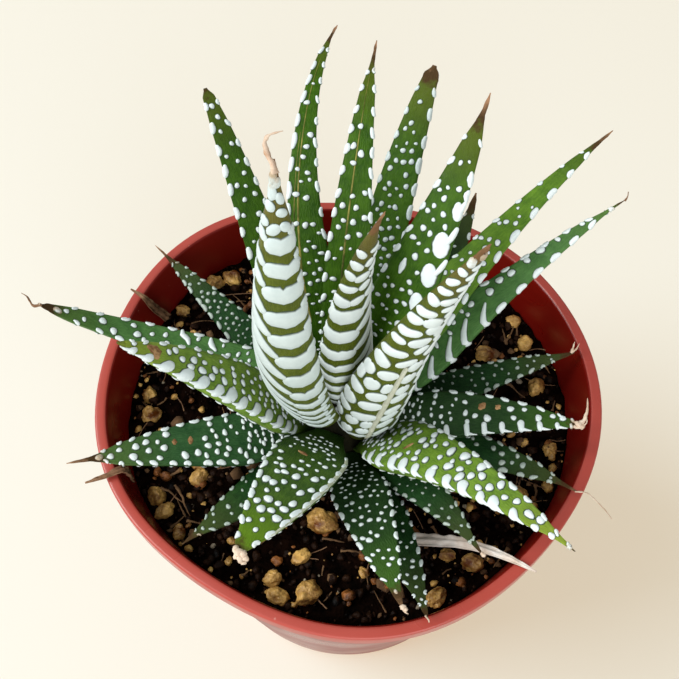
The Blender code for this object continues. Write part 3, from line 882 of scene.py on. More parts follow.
class Skin:
    """The fine surface of a leaf. A place on it is a distance along, in millimetres,
    and a way round: 0 and 1 are the right edge, 0.5 the left, the face comes first."""

    STEP = 0.45
    SIDES = 48

    def __init__(self, leaf, look):
        self.leaf, self.look = leaf, look
        self.length = leaf.length - BROKEN_OFF.get(leaf.name, 0.0)
        self.rows = int(self.length / self.STEP) + 1
        share = np.linspace(0, self.length / leaf.length, self.rows)
        left = self.length - share * leaf.length
        centre, across, inward = self.axes(share)
        self.half = self.half_width(share, left)
        wide, deep, self.face_arc, self.back_arc = self.sections()
        dried = smooth_step((look.dry - left) / 2.0)
        shrivel = 1 + SHRIVEL * dried[:, None] * self.wrinkle(share)
        wide, deep = wide * shrivel, deep * shrivel * (1 - SINK * dried[:, None])
        self.points = (
            centre[:, None] + across[:, None] * wide[..., None] + inward[:, None] * deep[..., None]
        )
        self.normals = self.facing(centre)

    def axes(self, share):
        """The leaf's middle line, and its directions across and inward."""
        known, points = leaf_spine(self.leaf)
        centre = np.stack([cubic(known, points[:, k], share) for k in range(3)], -1)
        across, _, inward = directions(self.leaf, share)
        middle, tip = BOWS.get(self.leaf.name, (0.0, 0.0))
        bow = 4 * middle * share * (1 - share) + tip * share ** 2 * (2 * share - 1) ** 2
        centre = centre + across * bow[:, None]
        twist = math.radians(TWISTS.get(self.leaf.name, 0))
        cos, sin = math.cos(twist), math.sin(twist)
        return centre, across * cos + inward * sin, inward * cos - across * sin

    def half_width(self, share, left):
        """Half the width at shares of the length, with left millimetres to go to the tip."""
        look = self.look
        half = leaf_width(self.leaf, share, look.tip) / 2
        full = smooth_step((left - look.bristle + 1.5) / BRISTLE_RUN) ** 0.8
        half = mix(np.minimum(half, look.tip / 2), half, full)
        return half * mix(0.3, 1.0, smooth_step(left / TIP_ROUNDING))

    def sections(self):
        """Ways round spread evenly by length over the face and over the back."""
        angle = np.linspace(0, math.pi, 97)
        around = np.arange(self.SIDES) / self.SIDES
        wide = np.empty((self.rows, self.SIDES))
        deep = np.empty_like(wide)
        arcs = np.empty((self.rows, 2))
        for row, (half, down) in enumerate(zip(self.half, 2 * self.half * BACK_DEPTH)):
            sides = (
                (half * np.cos(angle), FACE_DEPTH * down * np.sin(angle)),
                (-half * np.cos(angle), -down * np.sin(angle) ** 0.85),
            )
            for side, (x, y) in enumerate(sides):
                run = np.concatenate([[0], np.cumsum(np.hypot(np.diff(x), np.diff(y)))])
                arcs[row, side] = run[-1]
                chosen = (around >= side / 2) & (around < (side + 1) / 2)
                at = (around[chosen] - side / 2) * 2 * run[-1]
                wide[row, chosen] = np.interp(at, run, x)
                deep[row, chosen] = np.interp(at, run, y)
        return wide, deep, arcs[:, 0], arcs[:, 1]

    def wrinkle(self, share):
        """Folds of a dried end: they change quickly along it and slowly round it."""
        length, seed = self.leaf.length, self.leaf.seed
        values = [
            [noise.noise((s * length * 0.9, math.cos(a) * 1.5 + seed, math.sin(a) * 1.5))
             for a in turns(self.SIDES)]
            for s in share
        ]
        return np.array(values) * 1.6

    def facing(self, centre):
        """Outward normals at the points of the skin."""
        along = np.gradient(self.points, axis=0)
        around = np.roll(self.points, -1, 1) - np.roll(self.points, 1, 1)
        normals = unit(np.cross(around, along))
        outward = ((self.points - centre[:, None]) * normals).sum() > 0
        return normals if outward else -normals

    def at(self, along, around):
        """Points and outward normals at arrays of places."""
        row = np.clip(np.asarray(along) / self.length, 0, 1) * (self.rows - 1)
        column = np.mod(np.asarray(around), 1.0) * self.SIDES
        r0 = np.minimum(row.astype(int), self.rows - 2)
        c0 = column.astype(int) % self.SIDES
        c1 = (c0 + 1) % self.SIDES
        past_row = (row - r0)[..., None]
        past_column = (column - column.astype(int))[..., None]
        blend = []
        for grid in (self.points, self.normals):
            low = mix(grid[r0, c0], grid[r0, c1], past_column)
            high = mix(grid[r0 + 1, c0], grid[r0 + 1, c1], past_column)
            blend.append(mix(low, high, past_row))
        return blend

    def arc(self, along, around):
        """Length in millimetres of the half turn on that side, at arrays of places."""
        share = np.linspace(0, self.length, self.rows)
        face = np.interp(along, share, self.face_arc)
        back = np.interp(along, share, self.back_arc)
        return np.where(np.mod(around, 1.0) < 0.5, face, back)

    def face_turn(self, along):
        """Millimetres to one whole way round, if all of it were as long as the face."""
        return 2 * float(self.arc(along, 0.25))

    def back_turn(self, along):
        """The same for the back."""
        return 2 * float(self.arc(along, 0.75))


def cubic(known, values, wanted):
    """Catmull-Rom values between evenly spaced known ones."""
    padded = np.concatenate([[2 * values[0] - values[1]], values, [2 * values[-1] - values[-2]]])
    at = np.clip(wanted * (len(known) - 1), 0, len(known) - 1 - 1e-9)
    k = at.astype(int)
    t = at - k
    a, b, c, d = (padded[k + shift] for shift in range(4))
    return b + 0.5 * t * (c - a + t * (2 * a - 5 * b + 4 * c - d + t * (3 * b - 3 * c + d - a)))


def cubic_along(run, points, at):
    """Smooth curve through a few points by their run; straight between two."""
    if len(run) == 2:
        return np.stack([np.interp(at, run, column) for column in points.T], -1)
    even = np.linspace(0, run[-1], 2 * len(run))
    steady = np.stack([np.interp(even, run, column) for column in points.T], -1)
    return np.stack([cubic(even, column, at / run[-1]) for column in steady.T], -1)


def along_points(points, steps):
    """Places on a smooth curve through the points, steps to each stretch."""
    points = np.array(points, float)
    wanted = np.linspace(0, 1, steps * (len(points) - 1) + 1)
    known = np.arange(len(points))
    return np.stack([cubic(known, points[:, k], wanted) for k in range(3)], -1)


def add_skin(fabric, skin):
    along = np.repeat(np.linspace(0, skin.length, skin.rows)[:, None], skin.SIDES, 1)
    around = np.repeat((np.arange(skin.SIDES) / skin.SIDES)[None], skin.rows, 0)
    past = along - (skin.length - skin.look.dry)
    from_middle = np.abs(np.mod(around * 2, 1.0) - 0.5) * 2 * skin.arc(along, around)
    fabric.add(
        skin.points, tube_faces(skin.rows, skin.SIDES, flipped=True), SKIN,
        np.stack([along, past], -1), np.stack([from_middle, 0 * around], -1),
    )


# ---------------------------------------------------------------------------- white wax

# Rings of a wart: radius and height, from its top to just under the skin. The outer rings carry the
# wax's painted shade at the wart's foot.
DOME_RINGS = ((0.0, 1.0), (0.5, 0.88), (0.84, 0.54), (1.0, 0.13), (1.26, -0.09))
DOME_SIDES = 10

# Section of a stroke: shares of its reach across, and of its height. The outer shares, under the
# skin, carry the wax's painted shade at the stroke's foot.
STROKE_ACROSS = np.array([-1.20, -1.0, -0.86, -0.50, 0.0, 0.50, 0.86, 1.0, 1.20])
STROKE_UP = np.array([-0.14, 0.10, 0.50, 0.90, 1.0, 0.90, 0.50, 0.10, -0.14])
STROKE_STEP = 0.55
ROUND_END = np.radians((12, 38, 66))

# How far each kind of stroke stands off the skin, in its middle
HEIGHTS = {
    "panel": 0.26, "flank": 0.24, "spare": 0.22, "lump": 0.28, "broken": 0.26,
    "edge": 0.30, "wing": 0.22, "back": 0.28,
}


def dome_faces():
    turn = np.arange(DOME_SIDES)
    after = (turn + 1) % DOME_SIDES
    fan = np.stack([0 * turn, turn + 1, after + 1], -1)
    rings = grid_faces(len(DOME_RINGS) - 1, DOME_SIDES, True) + 1
    return fan, rings[:, ::-1]


def add_warts(fabric, skin, warts, rng):
    """warts, rows of (along, around, half across, half along, height)."""
    if not len(warts):
        return
    warts = np.array(warts)
    count = len(warts)
    angle = turns(DOME_SIDES)
    radius = np.array([r for r, _ in DOME_RINGS[1:]])
    height = np.array([h for _, h in DOME_RINGS])
    two, three = rng.uniform(0, 2 * math.pi, (2, count, 1))
    uneven = 1 + 0.10 * np.sin(2 * angle + two) + 0.07 * np.sin(3 * angle + three)

    def spread(direction, half):
        rings = (direction * uneven)[:, None] * radius[:, None]
        return np.concatenate([np.zeros((count, 1)), rings.reshape(count, -1)], 1) * half

    across = spread(np.cos(angle), warts[:, 2:3])
    along = spread(np.sin(angle), warts[:, 3:4])
    up = np.concatenate([height[:1], np.repeat(height[1:], DOME_SIDES)]) * warts[:, 4:5]
    s = warts[:, 0:1] + along
    w = warts[:, 1:2] + across * 0.5 / skin.arc(warts[:, 0:1], warts[:, 1:2])
    points, normals = skin.at(s, w)
    # rim: share of the radius out from the top; the wax finish paints shade where it nears 1
    rim = np.concatenate([[0.0], np.repeat(radius, DOME_SIDES)])
    stride = 1 + (len(DOME_RINGS) - 1) * DOME_SIDES
    past = np.broadcast_to(warts[:, 0:1] - skin.length + skin.look.dry, s.shape)
    fabric.add(
        points + normals * up[..., None],
        [repeated(faces, count, stride) for faces in dome_faces()], WAX,
        np.stack([s, past], -1), np.stack([0 * s, np.broadcast_to(rim, s.shape)], -1),
    )


def stroke_line(flat, reach):
    """The middle line of a stroke through flat places, with round ends that go reach beyond
    them. Gives its places, its directions, its fullness and its shares of the way."""
    run = np.concatenate([[0], np.cumsum(np.hypot(*np.diff(flat, axis=0).T))])
    inner = np.linspace(0, 1, max(4, int(run[-1] / STROKE_STEP)))
    rounded = reach * (1 - np.cos(ROUND_END))
    at = np.concatenate([-reach + rounded, inner * run[-1], run[-1] + reach - rounded[::-1]])
    held = np.clip(at, 0, run[-1])
    curve = cubic_along(run, flat, held)
    ahead = np.gradient(curve, axis=0)
    ahead[:3], ahead[-3:] = ahead[3], ahead[-4]
    ahead = unit(ahead)
    curve = curve + ahead * (at - held)[:, None]
    fullness = np.concatenate([np.sin(ROUND_END), np.ones(len(inner)), np.sin(ROUND_END)[::-1]])
    return curve, ahead, fullness, np.clip(at / max(run[-1], 1e-6), 0, 1)


def add_stroke(fabric, skin, path, above, below, height, finish=WAX):
    """A raised stroke of wax along a path of places (along, way round). It reaches above
    millimetres to one side of the path, below to the other, and has round ends."""
    path = np.array(path, float)
    turn = 2 * float(skin.arc(path[:, 0].mean(), path[:, 1].mean()))
    reach = 0.5 * (np.mean(above) + np.mean(below))
    curve, ahead, fullness, share = stroke_line(path * [1.0, turn], reach)
    side = np.stack([ahead[:, 1], -ahead[:, 0]], -1)
    side *= np.where(side[:, :1].mean() < 0, -1, 1)

    def spread(value):
        value = np.atleast_1d(value)
        return np.interp(share, np.linspace(0, 1, len(value)), value) * fullness

    reaches = np.where(STROKE_ACROSS[None] > 0, spread(above)[:, None], spread(below)[:, None])
    places = curve[:, None] + side[:, None] * (reaches * STROKE_ACROSS[None])[..., None]
    up = STROKE_UP[None] * height * mix(0.45, 1.0, fullness)[:, None]
    s, w = places[..., 0], places[..., 1] / turn
    points, normals = skin.at(s, w)
    # rim: share out from the middle, near 1 at the sides and round ends; the wax finish paints
    # shade there
    rim = np.maximum(np.abs(STROKE_ACROSS)[None], 1.0 - fullness[:, None] * 0.9)
    past = s - skin.length + skin.look.dry
    facing = np.cross(points[-1, 4] - points[0, 4], points[3, -1] - points[3, 0])
    flip = -1 if (facing * normals[3, 4]).sum() < 0 else 1
    fabric.add(
        points + normals * up[..., None],
        [grid_faces(len(curve), len(STROKE_ACROSS), False)[:, ::flip]], finish,
        np.stack([s, past], -1), np.stack([0 * s, rim], -1),
    )


def scallops(count, phase, depth, points=17):
    """Reach of a lobed edge, from 1 at the lobes down by depth between them."""
    run = np.linspace(0, 1, points)
    return 1 - depth + depth * np.abs(np.sin(math.pi * (count * run + phase))) ** 0.6


class HeartBands:
    """Wide shingled bands: a lobed panel before the keel, steep lobes down the flank. On a
    split leaf both are rows of lumps, and near the tip they are on every heart leaf."""

    LUMP_SPACE = 0.13               # half the green between two lumps of a split band
    KEEL_START, KEEL_RUN = 0.35, 2.4
    RISE, SAG = 0.40, 0.5           # of a band past the keel, and in the middle of its panel
    BROKEN_CUTS = ((0.0, 0.34, 0.66, 1.0), (0.0, 0.48, 0.74, 1.0))
    LAST_CUTS = (0.0, 0.45, 1.0)
    LAST_RUN = 16                   # length over which the lumps get smaller

    def __init__(self, fabric, skin, rng):
        self.fabric, self.skin, self.rng = fabric, skin, rng
        self.heart = HEARTS[skin.leaf.name]
        self.sign = 1 if self.heart.flank > self.heart.keel else -1

    def add_all(self):
        gaps = np.gradient(np.array(self.heart.bands))
        for along, gap in zip(self.heart.bands, gaps):
            self.add_band(along, gap)
        for number, along in enumerate(self.heart.broken):
            self.add_broken(along, self.BROKEN_CUTS[number % 2])

    def place(self, along, around, keel):
        """Places of a band: it slopes up past the keel and sags between keel and panel."""
        panel, turn = self.heart.panel, 2 * self.skin.arc(along, 0.75)
        past_keel = np.maximum(0, (around - keel) * self.sign * turn + 1.0)
        cup = 1 - np.abs((around - panel) / (keel - panel) - 0.5) * 2
        slope = self.RISE * past_keel ** 1.5 - self.SAG * np.clip(cup, 0, 1)
        return np.stack([along + slope, around], -1)

    def stroke(self, path, above, below, kind):
        add_stroke(self.fabric, self.skin, path, above, below, HEIGHTS[kind])

    def add_band(self, along, gap):
        heart, rng = self.heart, self.rng
        climb = (along / self.skin.leaf.length - self.KEEL_START) * self.KEEL_RUN
        keel = ease(heart.keel, heart.keel_tip, climb)
        turn = self.skin.back_turn(along)
        thick = gap * rng.uniform(0.33, 0.38)
        inset = thick / turn * self.sign
        upper = thick * scallops(int(rng.integers(3, 5)), rng.uniform(0, 0.3), 0.46, points=25)
        if heart.split:
            near = (heart.panel + 0.01, keel - inset * 0.1)
            self.add_lumps(along, keel, turn, near, int(rng.integers(2, 4)), gap * 0.44)
            far = (keel + inset * 0.1, heart.flank)
            self.add_lumps(along + 0.5, keel, turn, far, 2, gap * 0.41)
            return
        lower = thick * scallops(2, 0.5, 0.20, points=25)
        panel = np.linspace(heart.panel + inset * 0.1, keel - inset * 0.55, 9)
        self.stroke(self.place(along, panel, keel), upper, lower, "panel")
        flank = np.linspace(keel + inset * 0.55, heart.flank, 9)
        belly = thick * scallops(1, 0.0, 0.36) * 0.66
        shift = rng.uniform(-0.4, 0.4)
        self.stroke(self.place(along + shift, flank, keel), belly, belly, "flank")
        spare = heart.panel - self.sign * np.array([0.8, 0.3]) * (thick / turn + 0.012)
        self.stroke(self.place(along + 1.3, spare, keel), thick * 0.5, thick * 0.5, "spare")

    def add_lumps(self, along, keel, turn, ends, count, thick):
        """A row of count lumps from one way round to another, each as thick as asked."""
        rng = self.rng
        cuts = np.linspace(*ends, count + 1)
        cuts[1:-1] += (cuts[1] - cuts[0]) * rng.uniform(-0.15, 0.15, count - 1)
        for start, end in zip(cuts, cuts[1:]):
            half = min(thick, abs(end - start) * turn / 2 - self.LUMP_SPACE)
            pad = (half + self.LUMP_SPACE) / turn * math.copysign(1, end - start)
            middle, tall = along + rng.uniform(-0.5, 0.5), max(thick - half, 0.0)
            around = np.linspace(start + pad, end - pad, 3)
            path = self.place(middle + np.array([-tall, 0, tall]), around, keel)
            self.stroke(path, half * rng.uniform(0.9, 1.1), half * rng.uniform(0.9, 1.1), "lump")

    def add_broken(self, along, cuts):
        """A slanting row near the tip, cut at shares of the way from panel to flank."""
        heart, rng, skin = self.heart, self.rng, self.skin
        left = (skin.length - skin.look.dry - along) / self.LAST_RUN
        if left <= 0.3:
            cuts = self.LAST_CUTS
        span = heart.flank - heart.panel
        size = mix(0.52, 1.15, clamp(left))
        for start, end in zip(cuts, cuts[1:]):
            half = size * rng.uniform(0.85, 1.15)
            inset = half / skin.back_turn(along) / abs(span) + 0.02
            inset = min(inset, (end - start) * 0.42)
            around = heart.panel + span * np.array([start + inset, end - inset])
            slant = [[rng.uniform(-0.4, 0.4), 0], [rng.uniform(-0.4, 0.4), 0]]
            path = self.place(along, around, heart.keel_tip) + slant
            self.stroke(path, half, half * rng.uniform(0.7, 1.1), "broken")


# A band that comes less than OVAL_REACH onto the face ends in an oval, one that comes more
# than CLAW_REACH in a claw, and any other in a lobe. Past the share CLAWS_STOP of the length
# a claw is a lobe, and past LOBES_SHRINK the lobes from LONG_LOBE up get shorter.
OVAL_REACH, LONG_LOBE, CLAW_REACH = 0.75, 1.1, 2.6
CLAWS_STOP, LOBES_SHRINK = 0.52, 0.45
LATE_LOBE = (0.6, 1.7)

# The back is banded between two ways round, in pieces about this long
BACK_FROM, BACK_TO, BACK_PIECE = 0.57, 0.93, 2.7
PIECE_GAP = 0.32
SHORT_NECK = 6.0            # where the lowest band is, on a leaf with a short neck
CUP_CLEARANCE = 1.6


def add_edge(fabric, skin, along, edge, inward, margin, size, rng):
    """One end of a band at a margin: an oval along it, a claw that comes over it, or a lobe
    on the face with a wing that runs along the margin towards the tip."""
    reach, slant, half = (value * size for value in margin)
    turn = skin.face_turn(along)

    def onto_face(millimetres):
        return edge + inward * millimetres / turn

    inner = onto_face(reach)
    fat = half * rng.uniform(0.85, 1.15, 4)
    if margin[0] < OVAL_REACH:
        tilt = inward * rng.uniform(-0.1, 0.25) / turn
        path = [
            (along - slant * 0.36, onto_face(0.1)), (along, onto_face(0.25)),
            (along + slant * 0.36, onto_face(0.15) + tilt),
        ]
        halves = fat[:3] * (0.85, 1.0, 0.8)
    elif margin[0] > CLAW_REACH:
        path = [
            (along + slant, inner), (along + 0.3 * slant, mix(edge, inner, 0.55)),
            (along - 0.3, mix(edge, inner, 0.12)), (along + 0.2, edge - inward * 0.045),
        ]
        halves = fat * (0.65, 1.0, 1.25, 0.9)
    else:
        path = [(along + slant, inner), (along, mix(edge, inner, 0.1))]
        halves = fat[:3] * ((1.0, 1.05, 0.95) if margin[0] < 2 else (0.65, 0.9, 1.15))
        wing = [(along - 0.1, onto_face(0.25)), (along + 0.7, edge), (along + 1.5, onto_face(-0.1))]
        thin = fat[:3] * (0.7, 0.45, 0.2)
        add_stroke(fabric, skin, wing, thin, thin, HEIGHTS["wing"])
    add_stroke(fabric, skin, path, halves, halves, HEIGHTS["edge"])


def margin_at(margin, leaf, along):
    """What a band's end measures at a place along the leaf."""
    reach, slant, half = margin
    if reach < LONG_LOBE:
        return margin
    if reach > CLAW_REACH and along > CLAWS_STOP * leaf.length:
        return *LATE_LOBE, half
    return reach * ease(1.0, 0.55, (along / leaf.length - LOBES_SHRINK) * 2.2), slant, half


def add_bands(fabric, skin, rng):
    """Broken bands across the back whose ends come over both margins."""
    leaf, look = skin.leaf, skin.look
    living = skin.length - look.dry
    cups = [mark.path[-2][0] for mark in MARKS.get(leaf.name, ()) if mark.kind == "cup"]
    along = max(neck_length(leaf) + 1.5, SHORT_NECK)
    while along < living + 0.5:
        size = ease(0.5, 1.0, (along - 5) / 12) * min(1, 0.52 + (living - along) / 17)
        size *= rng.uniform(0.86, 1.12)
        if all(abs(along - cup) > CUP_CLEARANCE for cup in cups):
            place = along + rng.uniform(-0.3, 0.3)
            add_edge(fabric, skin, place, 1.0, 1, margin_at(look.right, leaf, along), size, rng)
        place = along + rng.uniform(-0.3, 0.3)
        add_edge(fabric, skin, place, 0.5, -1, margin_at(look.left, leaf, along), size, rng)
        turn = skin.back_turn(along)
        pieces = max(1, round(turn / 2 * 0.84 / BACK_PIECE))
        cuts = np.linspace(BACK_FROM, BACK_TO, pieces + 1)
        for start, end in zip(cuts, cuts[1:]):
            gap = PIECE_GAP / turn + 0.008
            sag = 1.2 * abs(mix(start, end, 0.5) - 0.75) * 4
            middle = along - 0.8 + sag + rng.uniform(-0.3, 0.3)
            half = min(look.bands * 0.24, 0.95) * size * rng.uniform(0.85, 1.15)
            first = start + gap + half / turn * 0.6
            last = end - gap - half / turn * 0.6
            if last <= first:
                first, last = mix(start, end, 0.45), mix(start, end, 0.55)
            belly = half * np.array([0.8, 1.05, 0.8]) * rng.uniform(0.85, 1.15, 3)
            ends = [(middle, first), (middle, last)]
            add_stroke(fabric, skin, ends, belly, belly[::-1], HEIGHTS["back"])
        along += look.bands * mix(0.7, 1.0, size) * rng.uniform(0.92, 1.08)


# Shares of the warts that are missing, low down and where the rows thin out
FEW_MISSING, MANY_MISSING = 0.08, 0.55
MARK_CLEARANCE = 1.6
ROW_SAG = 1.3
MARGIN = 0.035              # bare way round at both margins of the face


def face_warts(skin, rng):
    """Staggered rows on the face, small at the foot, largest past the middle."""
    leaf, look = skin.leaf, skin.look
    marked = [place for mark in MARKS.get(leaf.name, ()) for place in mark.path]
    warts = []
    along, row = look.first, 0
    while along < look.last:
        share = (along - look.first) / max(look.last - look.first, 1)
        size = ease(look.small, look.large, share * 1.6)
        size *= ease(1.0, 0.78, (share - 0.7) * 3.3)
        turn = skin.face_turn(along)
        tight = ease(0.72, 1.0, share * 2.0)
        low = MARGIN + look.right[0] * 0.8 / turn
        high = 0.5 - MARGIN - look.left[0] * 0.8 / turn
        count = max(1, int((high - low) * turn / (look.across * tight) + 0.6))
        missing = FEW_MISSING if along < look.sparse else MANY_MISSING
        for k in range(count):
            at = (k + 0.5 + 0.22 * (-1) ** row + rng.uniform(-0.2, 0.2)) / count
            chance, reach = rng.random(), size * rng.uniform(0.62, 1.15)
            long = mix(0.80, 1.15, share) * rng.uniform(0.85, 1.15)
            wide = ease(1.45, 1.05, share * 2.2) * rng.uniform(0.9, 1.1)
            sag = ROW_SAG * (1 - (2 * at - 1) ** 2)
            place = along - sag + rng.uniform(-0.22, 0.22) * look.pitch
            around = mix(low, high, at)
            clear = all(
                math.hypot(place - s, (around - w) * turn) >= MARK_CLEARANCE for s, w in marked
            )
            if chance > missing and clear:
                warts.append((place, around, reach * wide, reach * long, 0.44 * reach + 0.08))
        along += look.pitch * tight * rng.uniform(0.88, 1.12)
        row += 1
    return warts


THREAD_SIDES = 7
THREAD_END = 0.07


def add_thread(fabric, path, thickness, finish):
    """A crinkled thread that thins to its end."""
    places = along_points(path, 6)
    count, sides = len(places), THREAD_SIDES
    ahead = unit(np.gradient(places, axis=0))
    aside = unit(np.cross(ahead, [0.3, 0.2, 0.93]))
    over = np.cross(ahead, aside)
    angle = turns(sides)
    share = np.linspace(0, 1, count)[:, None]
    crinkle = np.array([
        [1 + 0.8 * noise.noise((p[0] * 1.6, p[1] * 1.6, p[2] + math.cos(a))) for a in angle]
        for p in places
    ])
    reach = mix(thickness / 2, THREAD_END, share ** 0.8) * crinkle
    points = places[:, None] + aside[:, None] * (reach * np.cos(angle))[..., None]
    points = points + over[:, None] * (reach * np.sin(angle) * 0.6)[..., None]
    fabric.add(points, tube_faces(count, sides), finish)


def grow_leaf(leaf):
    """The whole piece: skin, warts, bands, single marks, and what hangs from its tip."""
    rng = np.random.default_rng(leaf.seed * 7 + leaf.turn)
    skin = Skin(leaf, LOOKS[leaf.name])
    tone = TONES.get(leaf.name, leaf.kind) + "_leaf"
    fabric = Fabric(tone, WAXES.get(leaf.name, "white_wax"), *LEAF_PARTS[2:])
    add_skin(fabric, skin)
    add_warts(fabric, skin, face_warts(skin, rng), rng)
    if leaf.name in HEARTS:
        HeartBands(fabric, skin, rng).add_all()
    else:
        add_bands(fabric, skin, rng)
    thinning = np.sin(np.linspace(0.35, math.pi - 0.35, 7))
    for mark in MARKS.get(leaf.name, ()):
        finish, height = MARK_KINDS[mark.kind]
        half = mark.half * thinning ** mark.swell
        add_stroke(fabric, skin, mark.path, half, half, height, LEAF_PARTS.index(finish))
    tip = skin.points[-1].mean(0)
    for curl in CURLS.get(leaf.name, ()):
        finish = LEAF_PARTS.index(curl.finish)
        add_thread(fabric, tip + np.array(curl.path), curl.thickness, finish)
    if leaf.name in CRUMBLED:
        lumps = [
            (*(tip + place), radius, 0.9, number)
            for number, (*place, radius) in enumerate(CRUMBLED[leaf.name])
        ]
        straw = LEAF_PARTS.index("straw")
        add_rocks(fabric, lumps, level=2, roughness=0.45, seed=7, finish=straw)
    fabric.make(leaf.node + "_grown", leaf.kind + "_leaf", leaf.node)


# ---------------------------------------------------------------------------------- pot

POT_SIDES = 160
FOOT_SHARPNESS = 0.98
LIP_UNDER_ROUNDING = 0.3
LIP_OUTER_ROUNDING = 0.45
LIP_INNER_ROUNDING = 0.8
HOLE_SIDES = 24
HOLE_CUT = (-2.0, 3.0)


def push_out(angle):
    return sum(swell * np.cos(n * angle - math.radians(phase)) for n, swell, phase in RIM_LOBES)


def out_of_round(radius, angle, z):
    return radius * (1 + push_out(angle) / RIM_RADIUS * z / POT_HEIGHT)


def wall_radius(z):
    return mix(BASE_RADIUS, RIM_RADIUS - LIP_WIDTH + WALL, z / POT_HEIGHT)


def turned(profile, sides):
    """Points and faces of a profile turned about Z, out of round near the rim."""
    angle = turns(sides)
    radius, z = np.array(profile).T
    reach = out_of_round(radius[:, None], angle[None], z[:, None])
    height = np.broadcast_to(z[:, None], reach.shape)
    points = np.stack([reach * np.cos(angle), reach * np.sin(angle), height], -1)
    return points, grid_faces(len(profile), sides, True)


def arc_points(centre, radius, start, end, count):
    turn = np.radians(np.linspace(start, end, count))
    return [(centre[0] + radius * math.cos(a), centre[1] + radius * math.sin(a)) for a in turn]


def make_pot():
    """The profile runs out along the base, up the outside, over the lip and down inside."""
    top, inner = POT_HEIGHT, RIM_RADIUS - LIP_WIDTH
    under_lip = POT_HEIGHT - LIP_DEPTH
    foot = BASE_RADIUS - FOOT_ROUNDING
    under, outer = LIP_UNDER_ROUNDING, LIP_OUTER_ROUNDING
    profile = [(0.01, 0), (foot * 0.5, 0), (foot, 0)]
    profile += arc_points((foot, FOOT_ROUNDING), FOOT_ROUNDING * FOOT_SHARPNESS, -70, -10, 4)
    profile += [(wall_radius(z), z) for z in np.linspace(3, under_lip - 0.5, 14)]
    profile += [(wall_radius(under_lip) + 0.1, under_lip), (RIM_RADIUS - 0.35, under_lip)]
    profile += arc_points((RIM_RADIUS - under, under_lip + under), under, -80, 0, 3)
    profile += arc_points((RIM_RADIUS - outer, top - outer), outer, 0, 90, 6)
    profile += arc_points(
        (inner + LIP_INNER_ROUNDING, top - 0.82), LIP_INNER_ROUNDING, 90, 175, 8
    )
    profile += [(wall_radius(z) - WALL, z) for z in np.linspace(top - 1.9, WALL + 1, 14)]
    profile += [(wall_radius(WALL) - WALL - 0.6, WALL), (foot * 0.5, WALL), (0.01, WALL)]
    points, faces = turned(profile, POT_SIDES)
    # The inner wall takes the darker plastic: painted shade
    inside = [
        row for row, (radius, z) in enumerate(profile)
        if WALL < z < top - 0.12 and radius < inner + 0.6
    ]
    painted_shade_faces = np.isin(faces[:, 0] // POT_SIDES, inside)
    fabric = Fabric("pot_plastic", "pot_inside_painted_shade")
    fabric.add(points, [faces[~painted_shade_faces], faces[painted_shade_faces]], [0, 1])
    pot = fabric.make("nursery_pot", "pot_plastic", "pot")
    cut_drains(pot)


def cut_drains(pot):
    cutter = Fabric("pot_plastic")
    angle = turns(HOLE_SIDES)
    for hole in range(DRAIN_HOLES):
        turn = 2 * math.pi * (hole + 0.5) / DRAIN_HOLES
        x = DRAIN_CIRCLE * math.cos(turn) + DRAIN_RADIUS * np.cos(angle)
        y = DRAIN_CIRCLE * math.sin(turn) + DRAIN_RADIUS * np.sin(angle)
        rings = [np.stack([x, y, np.full(HOLE_SIDES, z)], -1) for z in HOLE_CUT]
        cutter.add(np.concatenate(rings), tube_faces(2, HOLE_SIDES))
    tool = cutter.make("drain_cutter", "pot_plastic")
    cut = pot.modifiers.new("drains", "BOOLEAN")
    cut.operation = "DIFFERENCE"
    cut.object = tool
    bpy.context.view_layer.update()
    shapes = bpy.context.evaluated_depsgraph_get()
    pot.data = bpy.data.meshes.new_from_object(pot.evaluated_get(shapes))
    pot.modifiers.clear()
    bpy.data.objects.remove(tool, do_unlink=True)


# --------------------------------------------------------------------------------- soil

SOIL_RINGS, SOIL_SIDES = 96, 240
SOIL_CLEARANCE = 0.15
SCATTER_RADIUS = 43.0
STEM_CLEARANCE = 8.5
SOIL_SEED = 5

# Pebbles that lie in the open: x, y, half length
PEBBLES = (
    (-24.1, 30.3, 2.6), (-28.2, 30.0, 2.2), (-33.8, 22.4, 1.9), (-37.1, 16.6, 1.7),
    (-38.3, 2.6, 2.0), (-37.2, -1.8, 2.4), (-27.0, -14.5, 2.2), (-35.3, -18.6, 2.3),
    (-33.0, -21.2, 2.2), (-4.3, -23.2, 3.4), (-7.9, -29.3, 2.1), (-12.7, -33.1, 2.0),
    (-6.5, -35.6, 3.0), (-12.2, -37.7, 2.4), (15.4, -36.8, 2.2), (21.8, -30.3, 2.4),
    (17.6, -28.9, 1.8), (3.0, -32.0, 1.3), (34.0, 19.6, 2.0), (27.5, 11.9, 2.3),
    (36.8, 4.4, 2.3), (37.8, -9.0, 1.9), (34.4, -13.9, 2.0), (36.8, -16.4, 1.5),
    (31.0, -18.0, 2.2), (35.5, 14.0, 2.1), (33.0, -2.0, 1.6), (-31.0, -26.0, 1.8),
)

# Splinters that show: the two ends and the thickness
SPLINTERS = (
    ((25.9, -11.5, 68.0), (32.0, -13.9, 68.4), 1.6),
    ((-31.0, -16.5, 67.6), (-27.6, -22.5, 68.2), 0.7),
    ((-33.5, -17.0, 67.4), (-29.0, -20.0, 68.0), 0.6),
    ((9.5, -36.5, 67.2), (7.4, -30.5, 68.6), 0.9),
    ((28.0, -28.0, 67.4), (25.0, -31.5, 68.0), 0.7),
    ((-1.0, -28.5, 67.4), (5.0, -29.5, 67.8), 0.6),
    ((30.0, 5.0, 67.4), (34.0, 1.0, 68.2), 0.9),
)

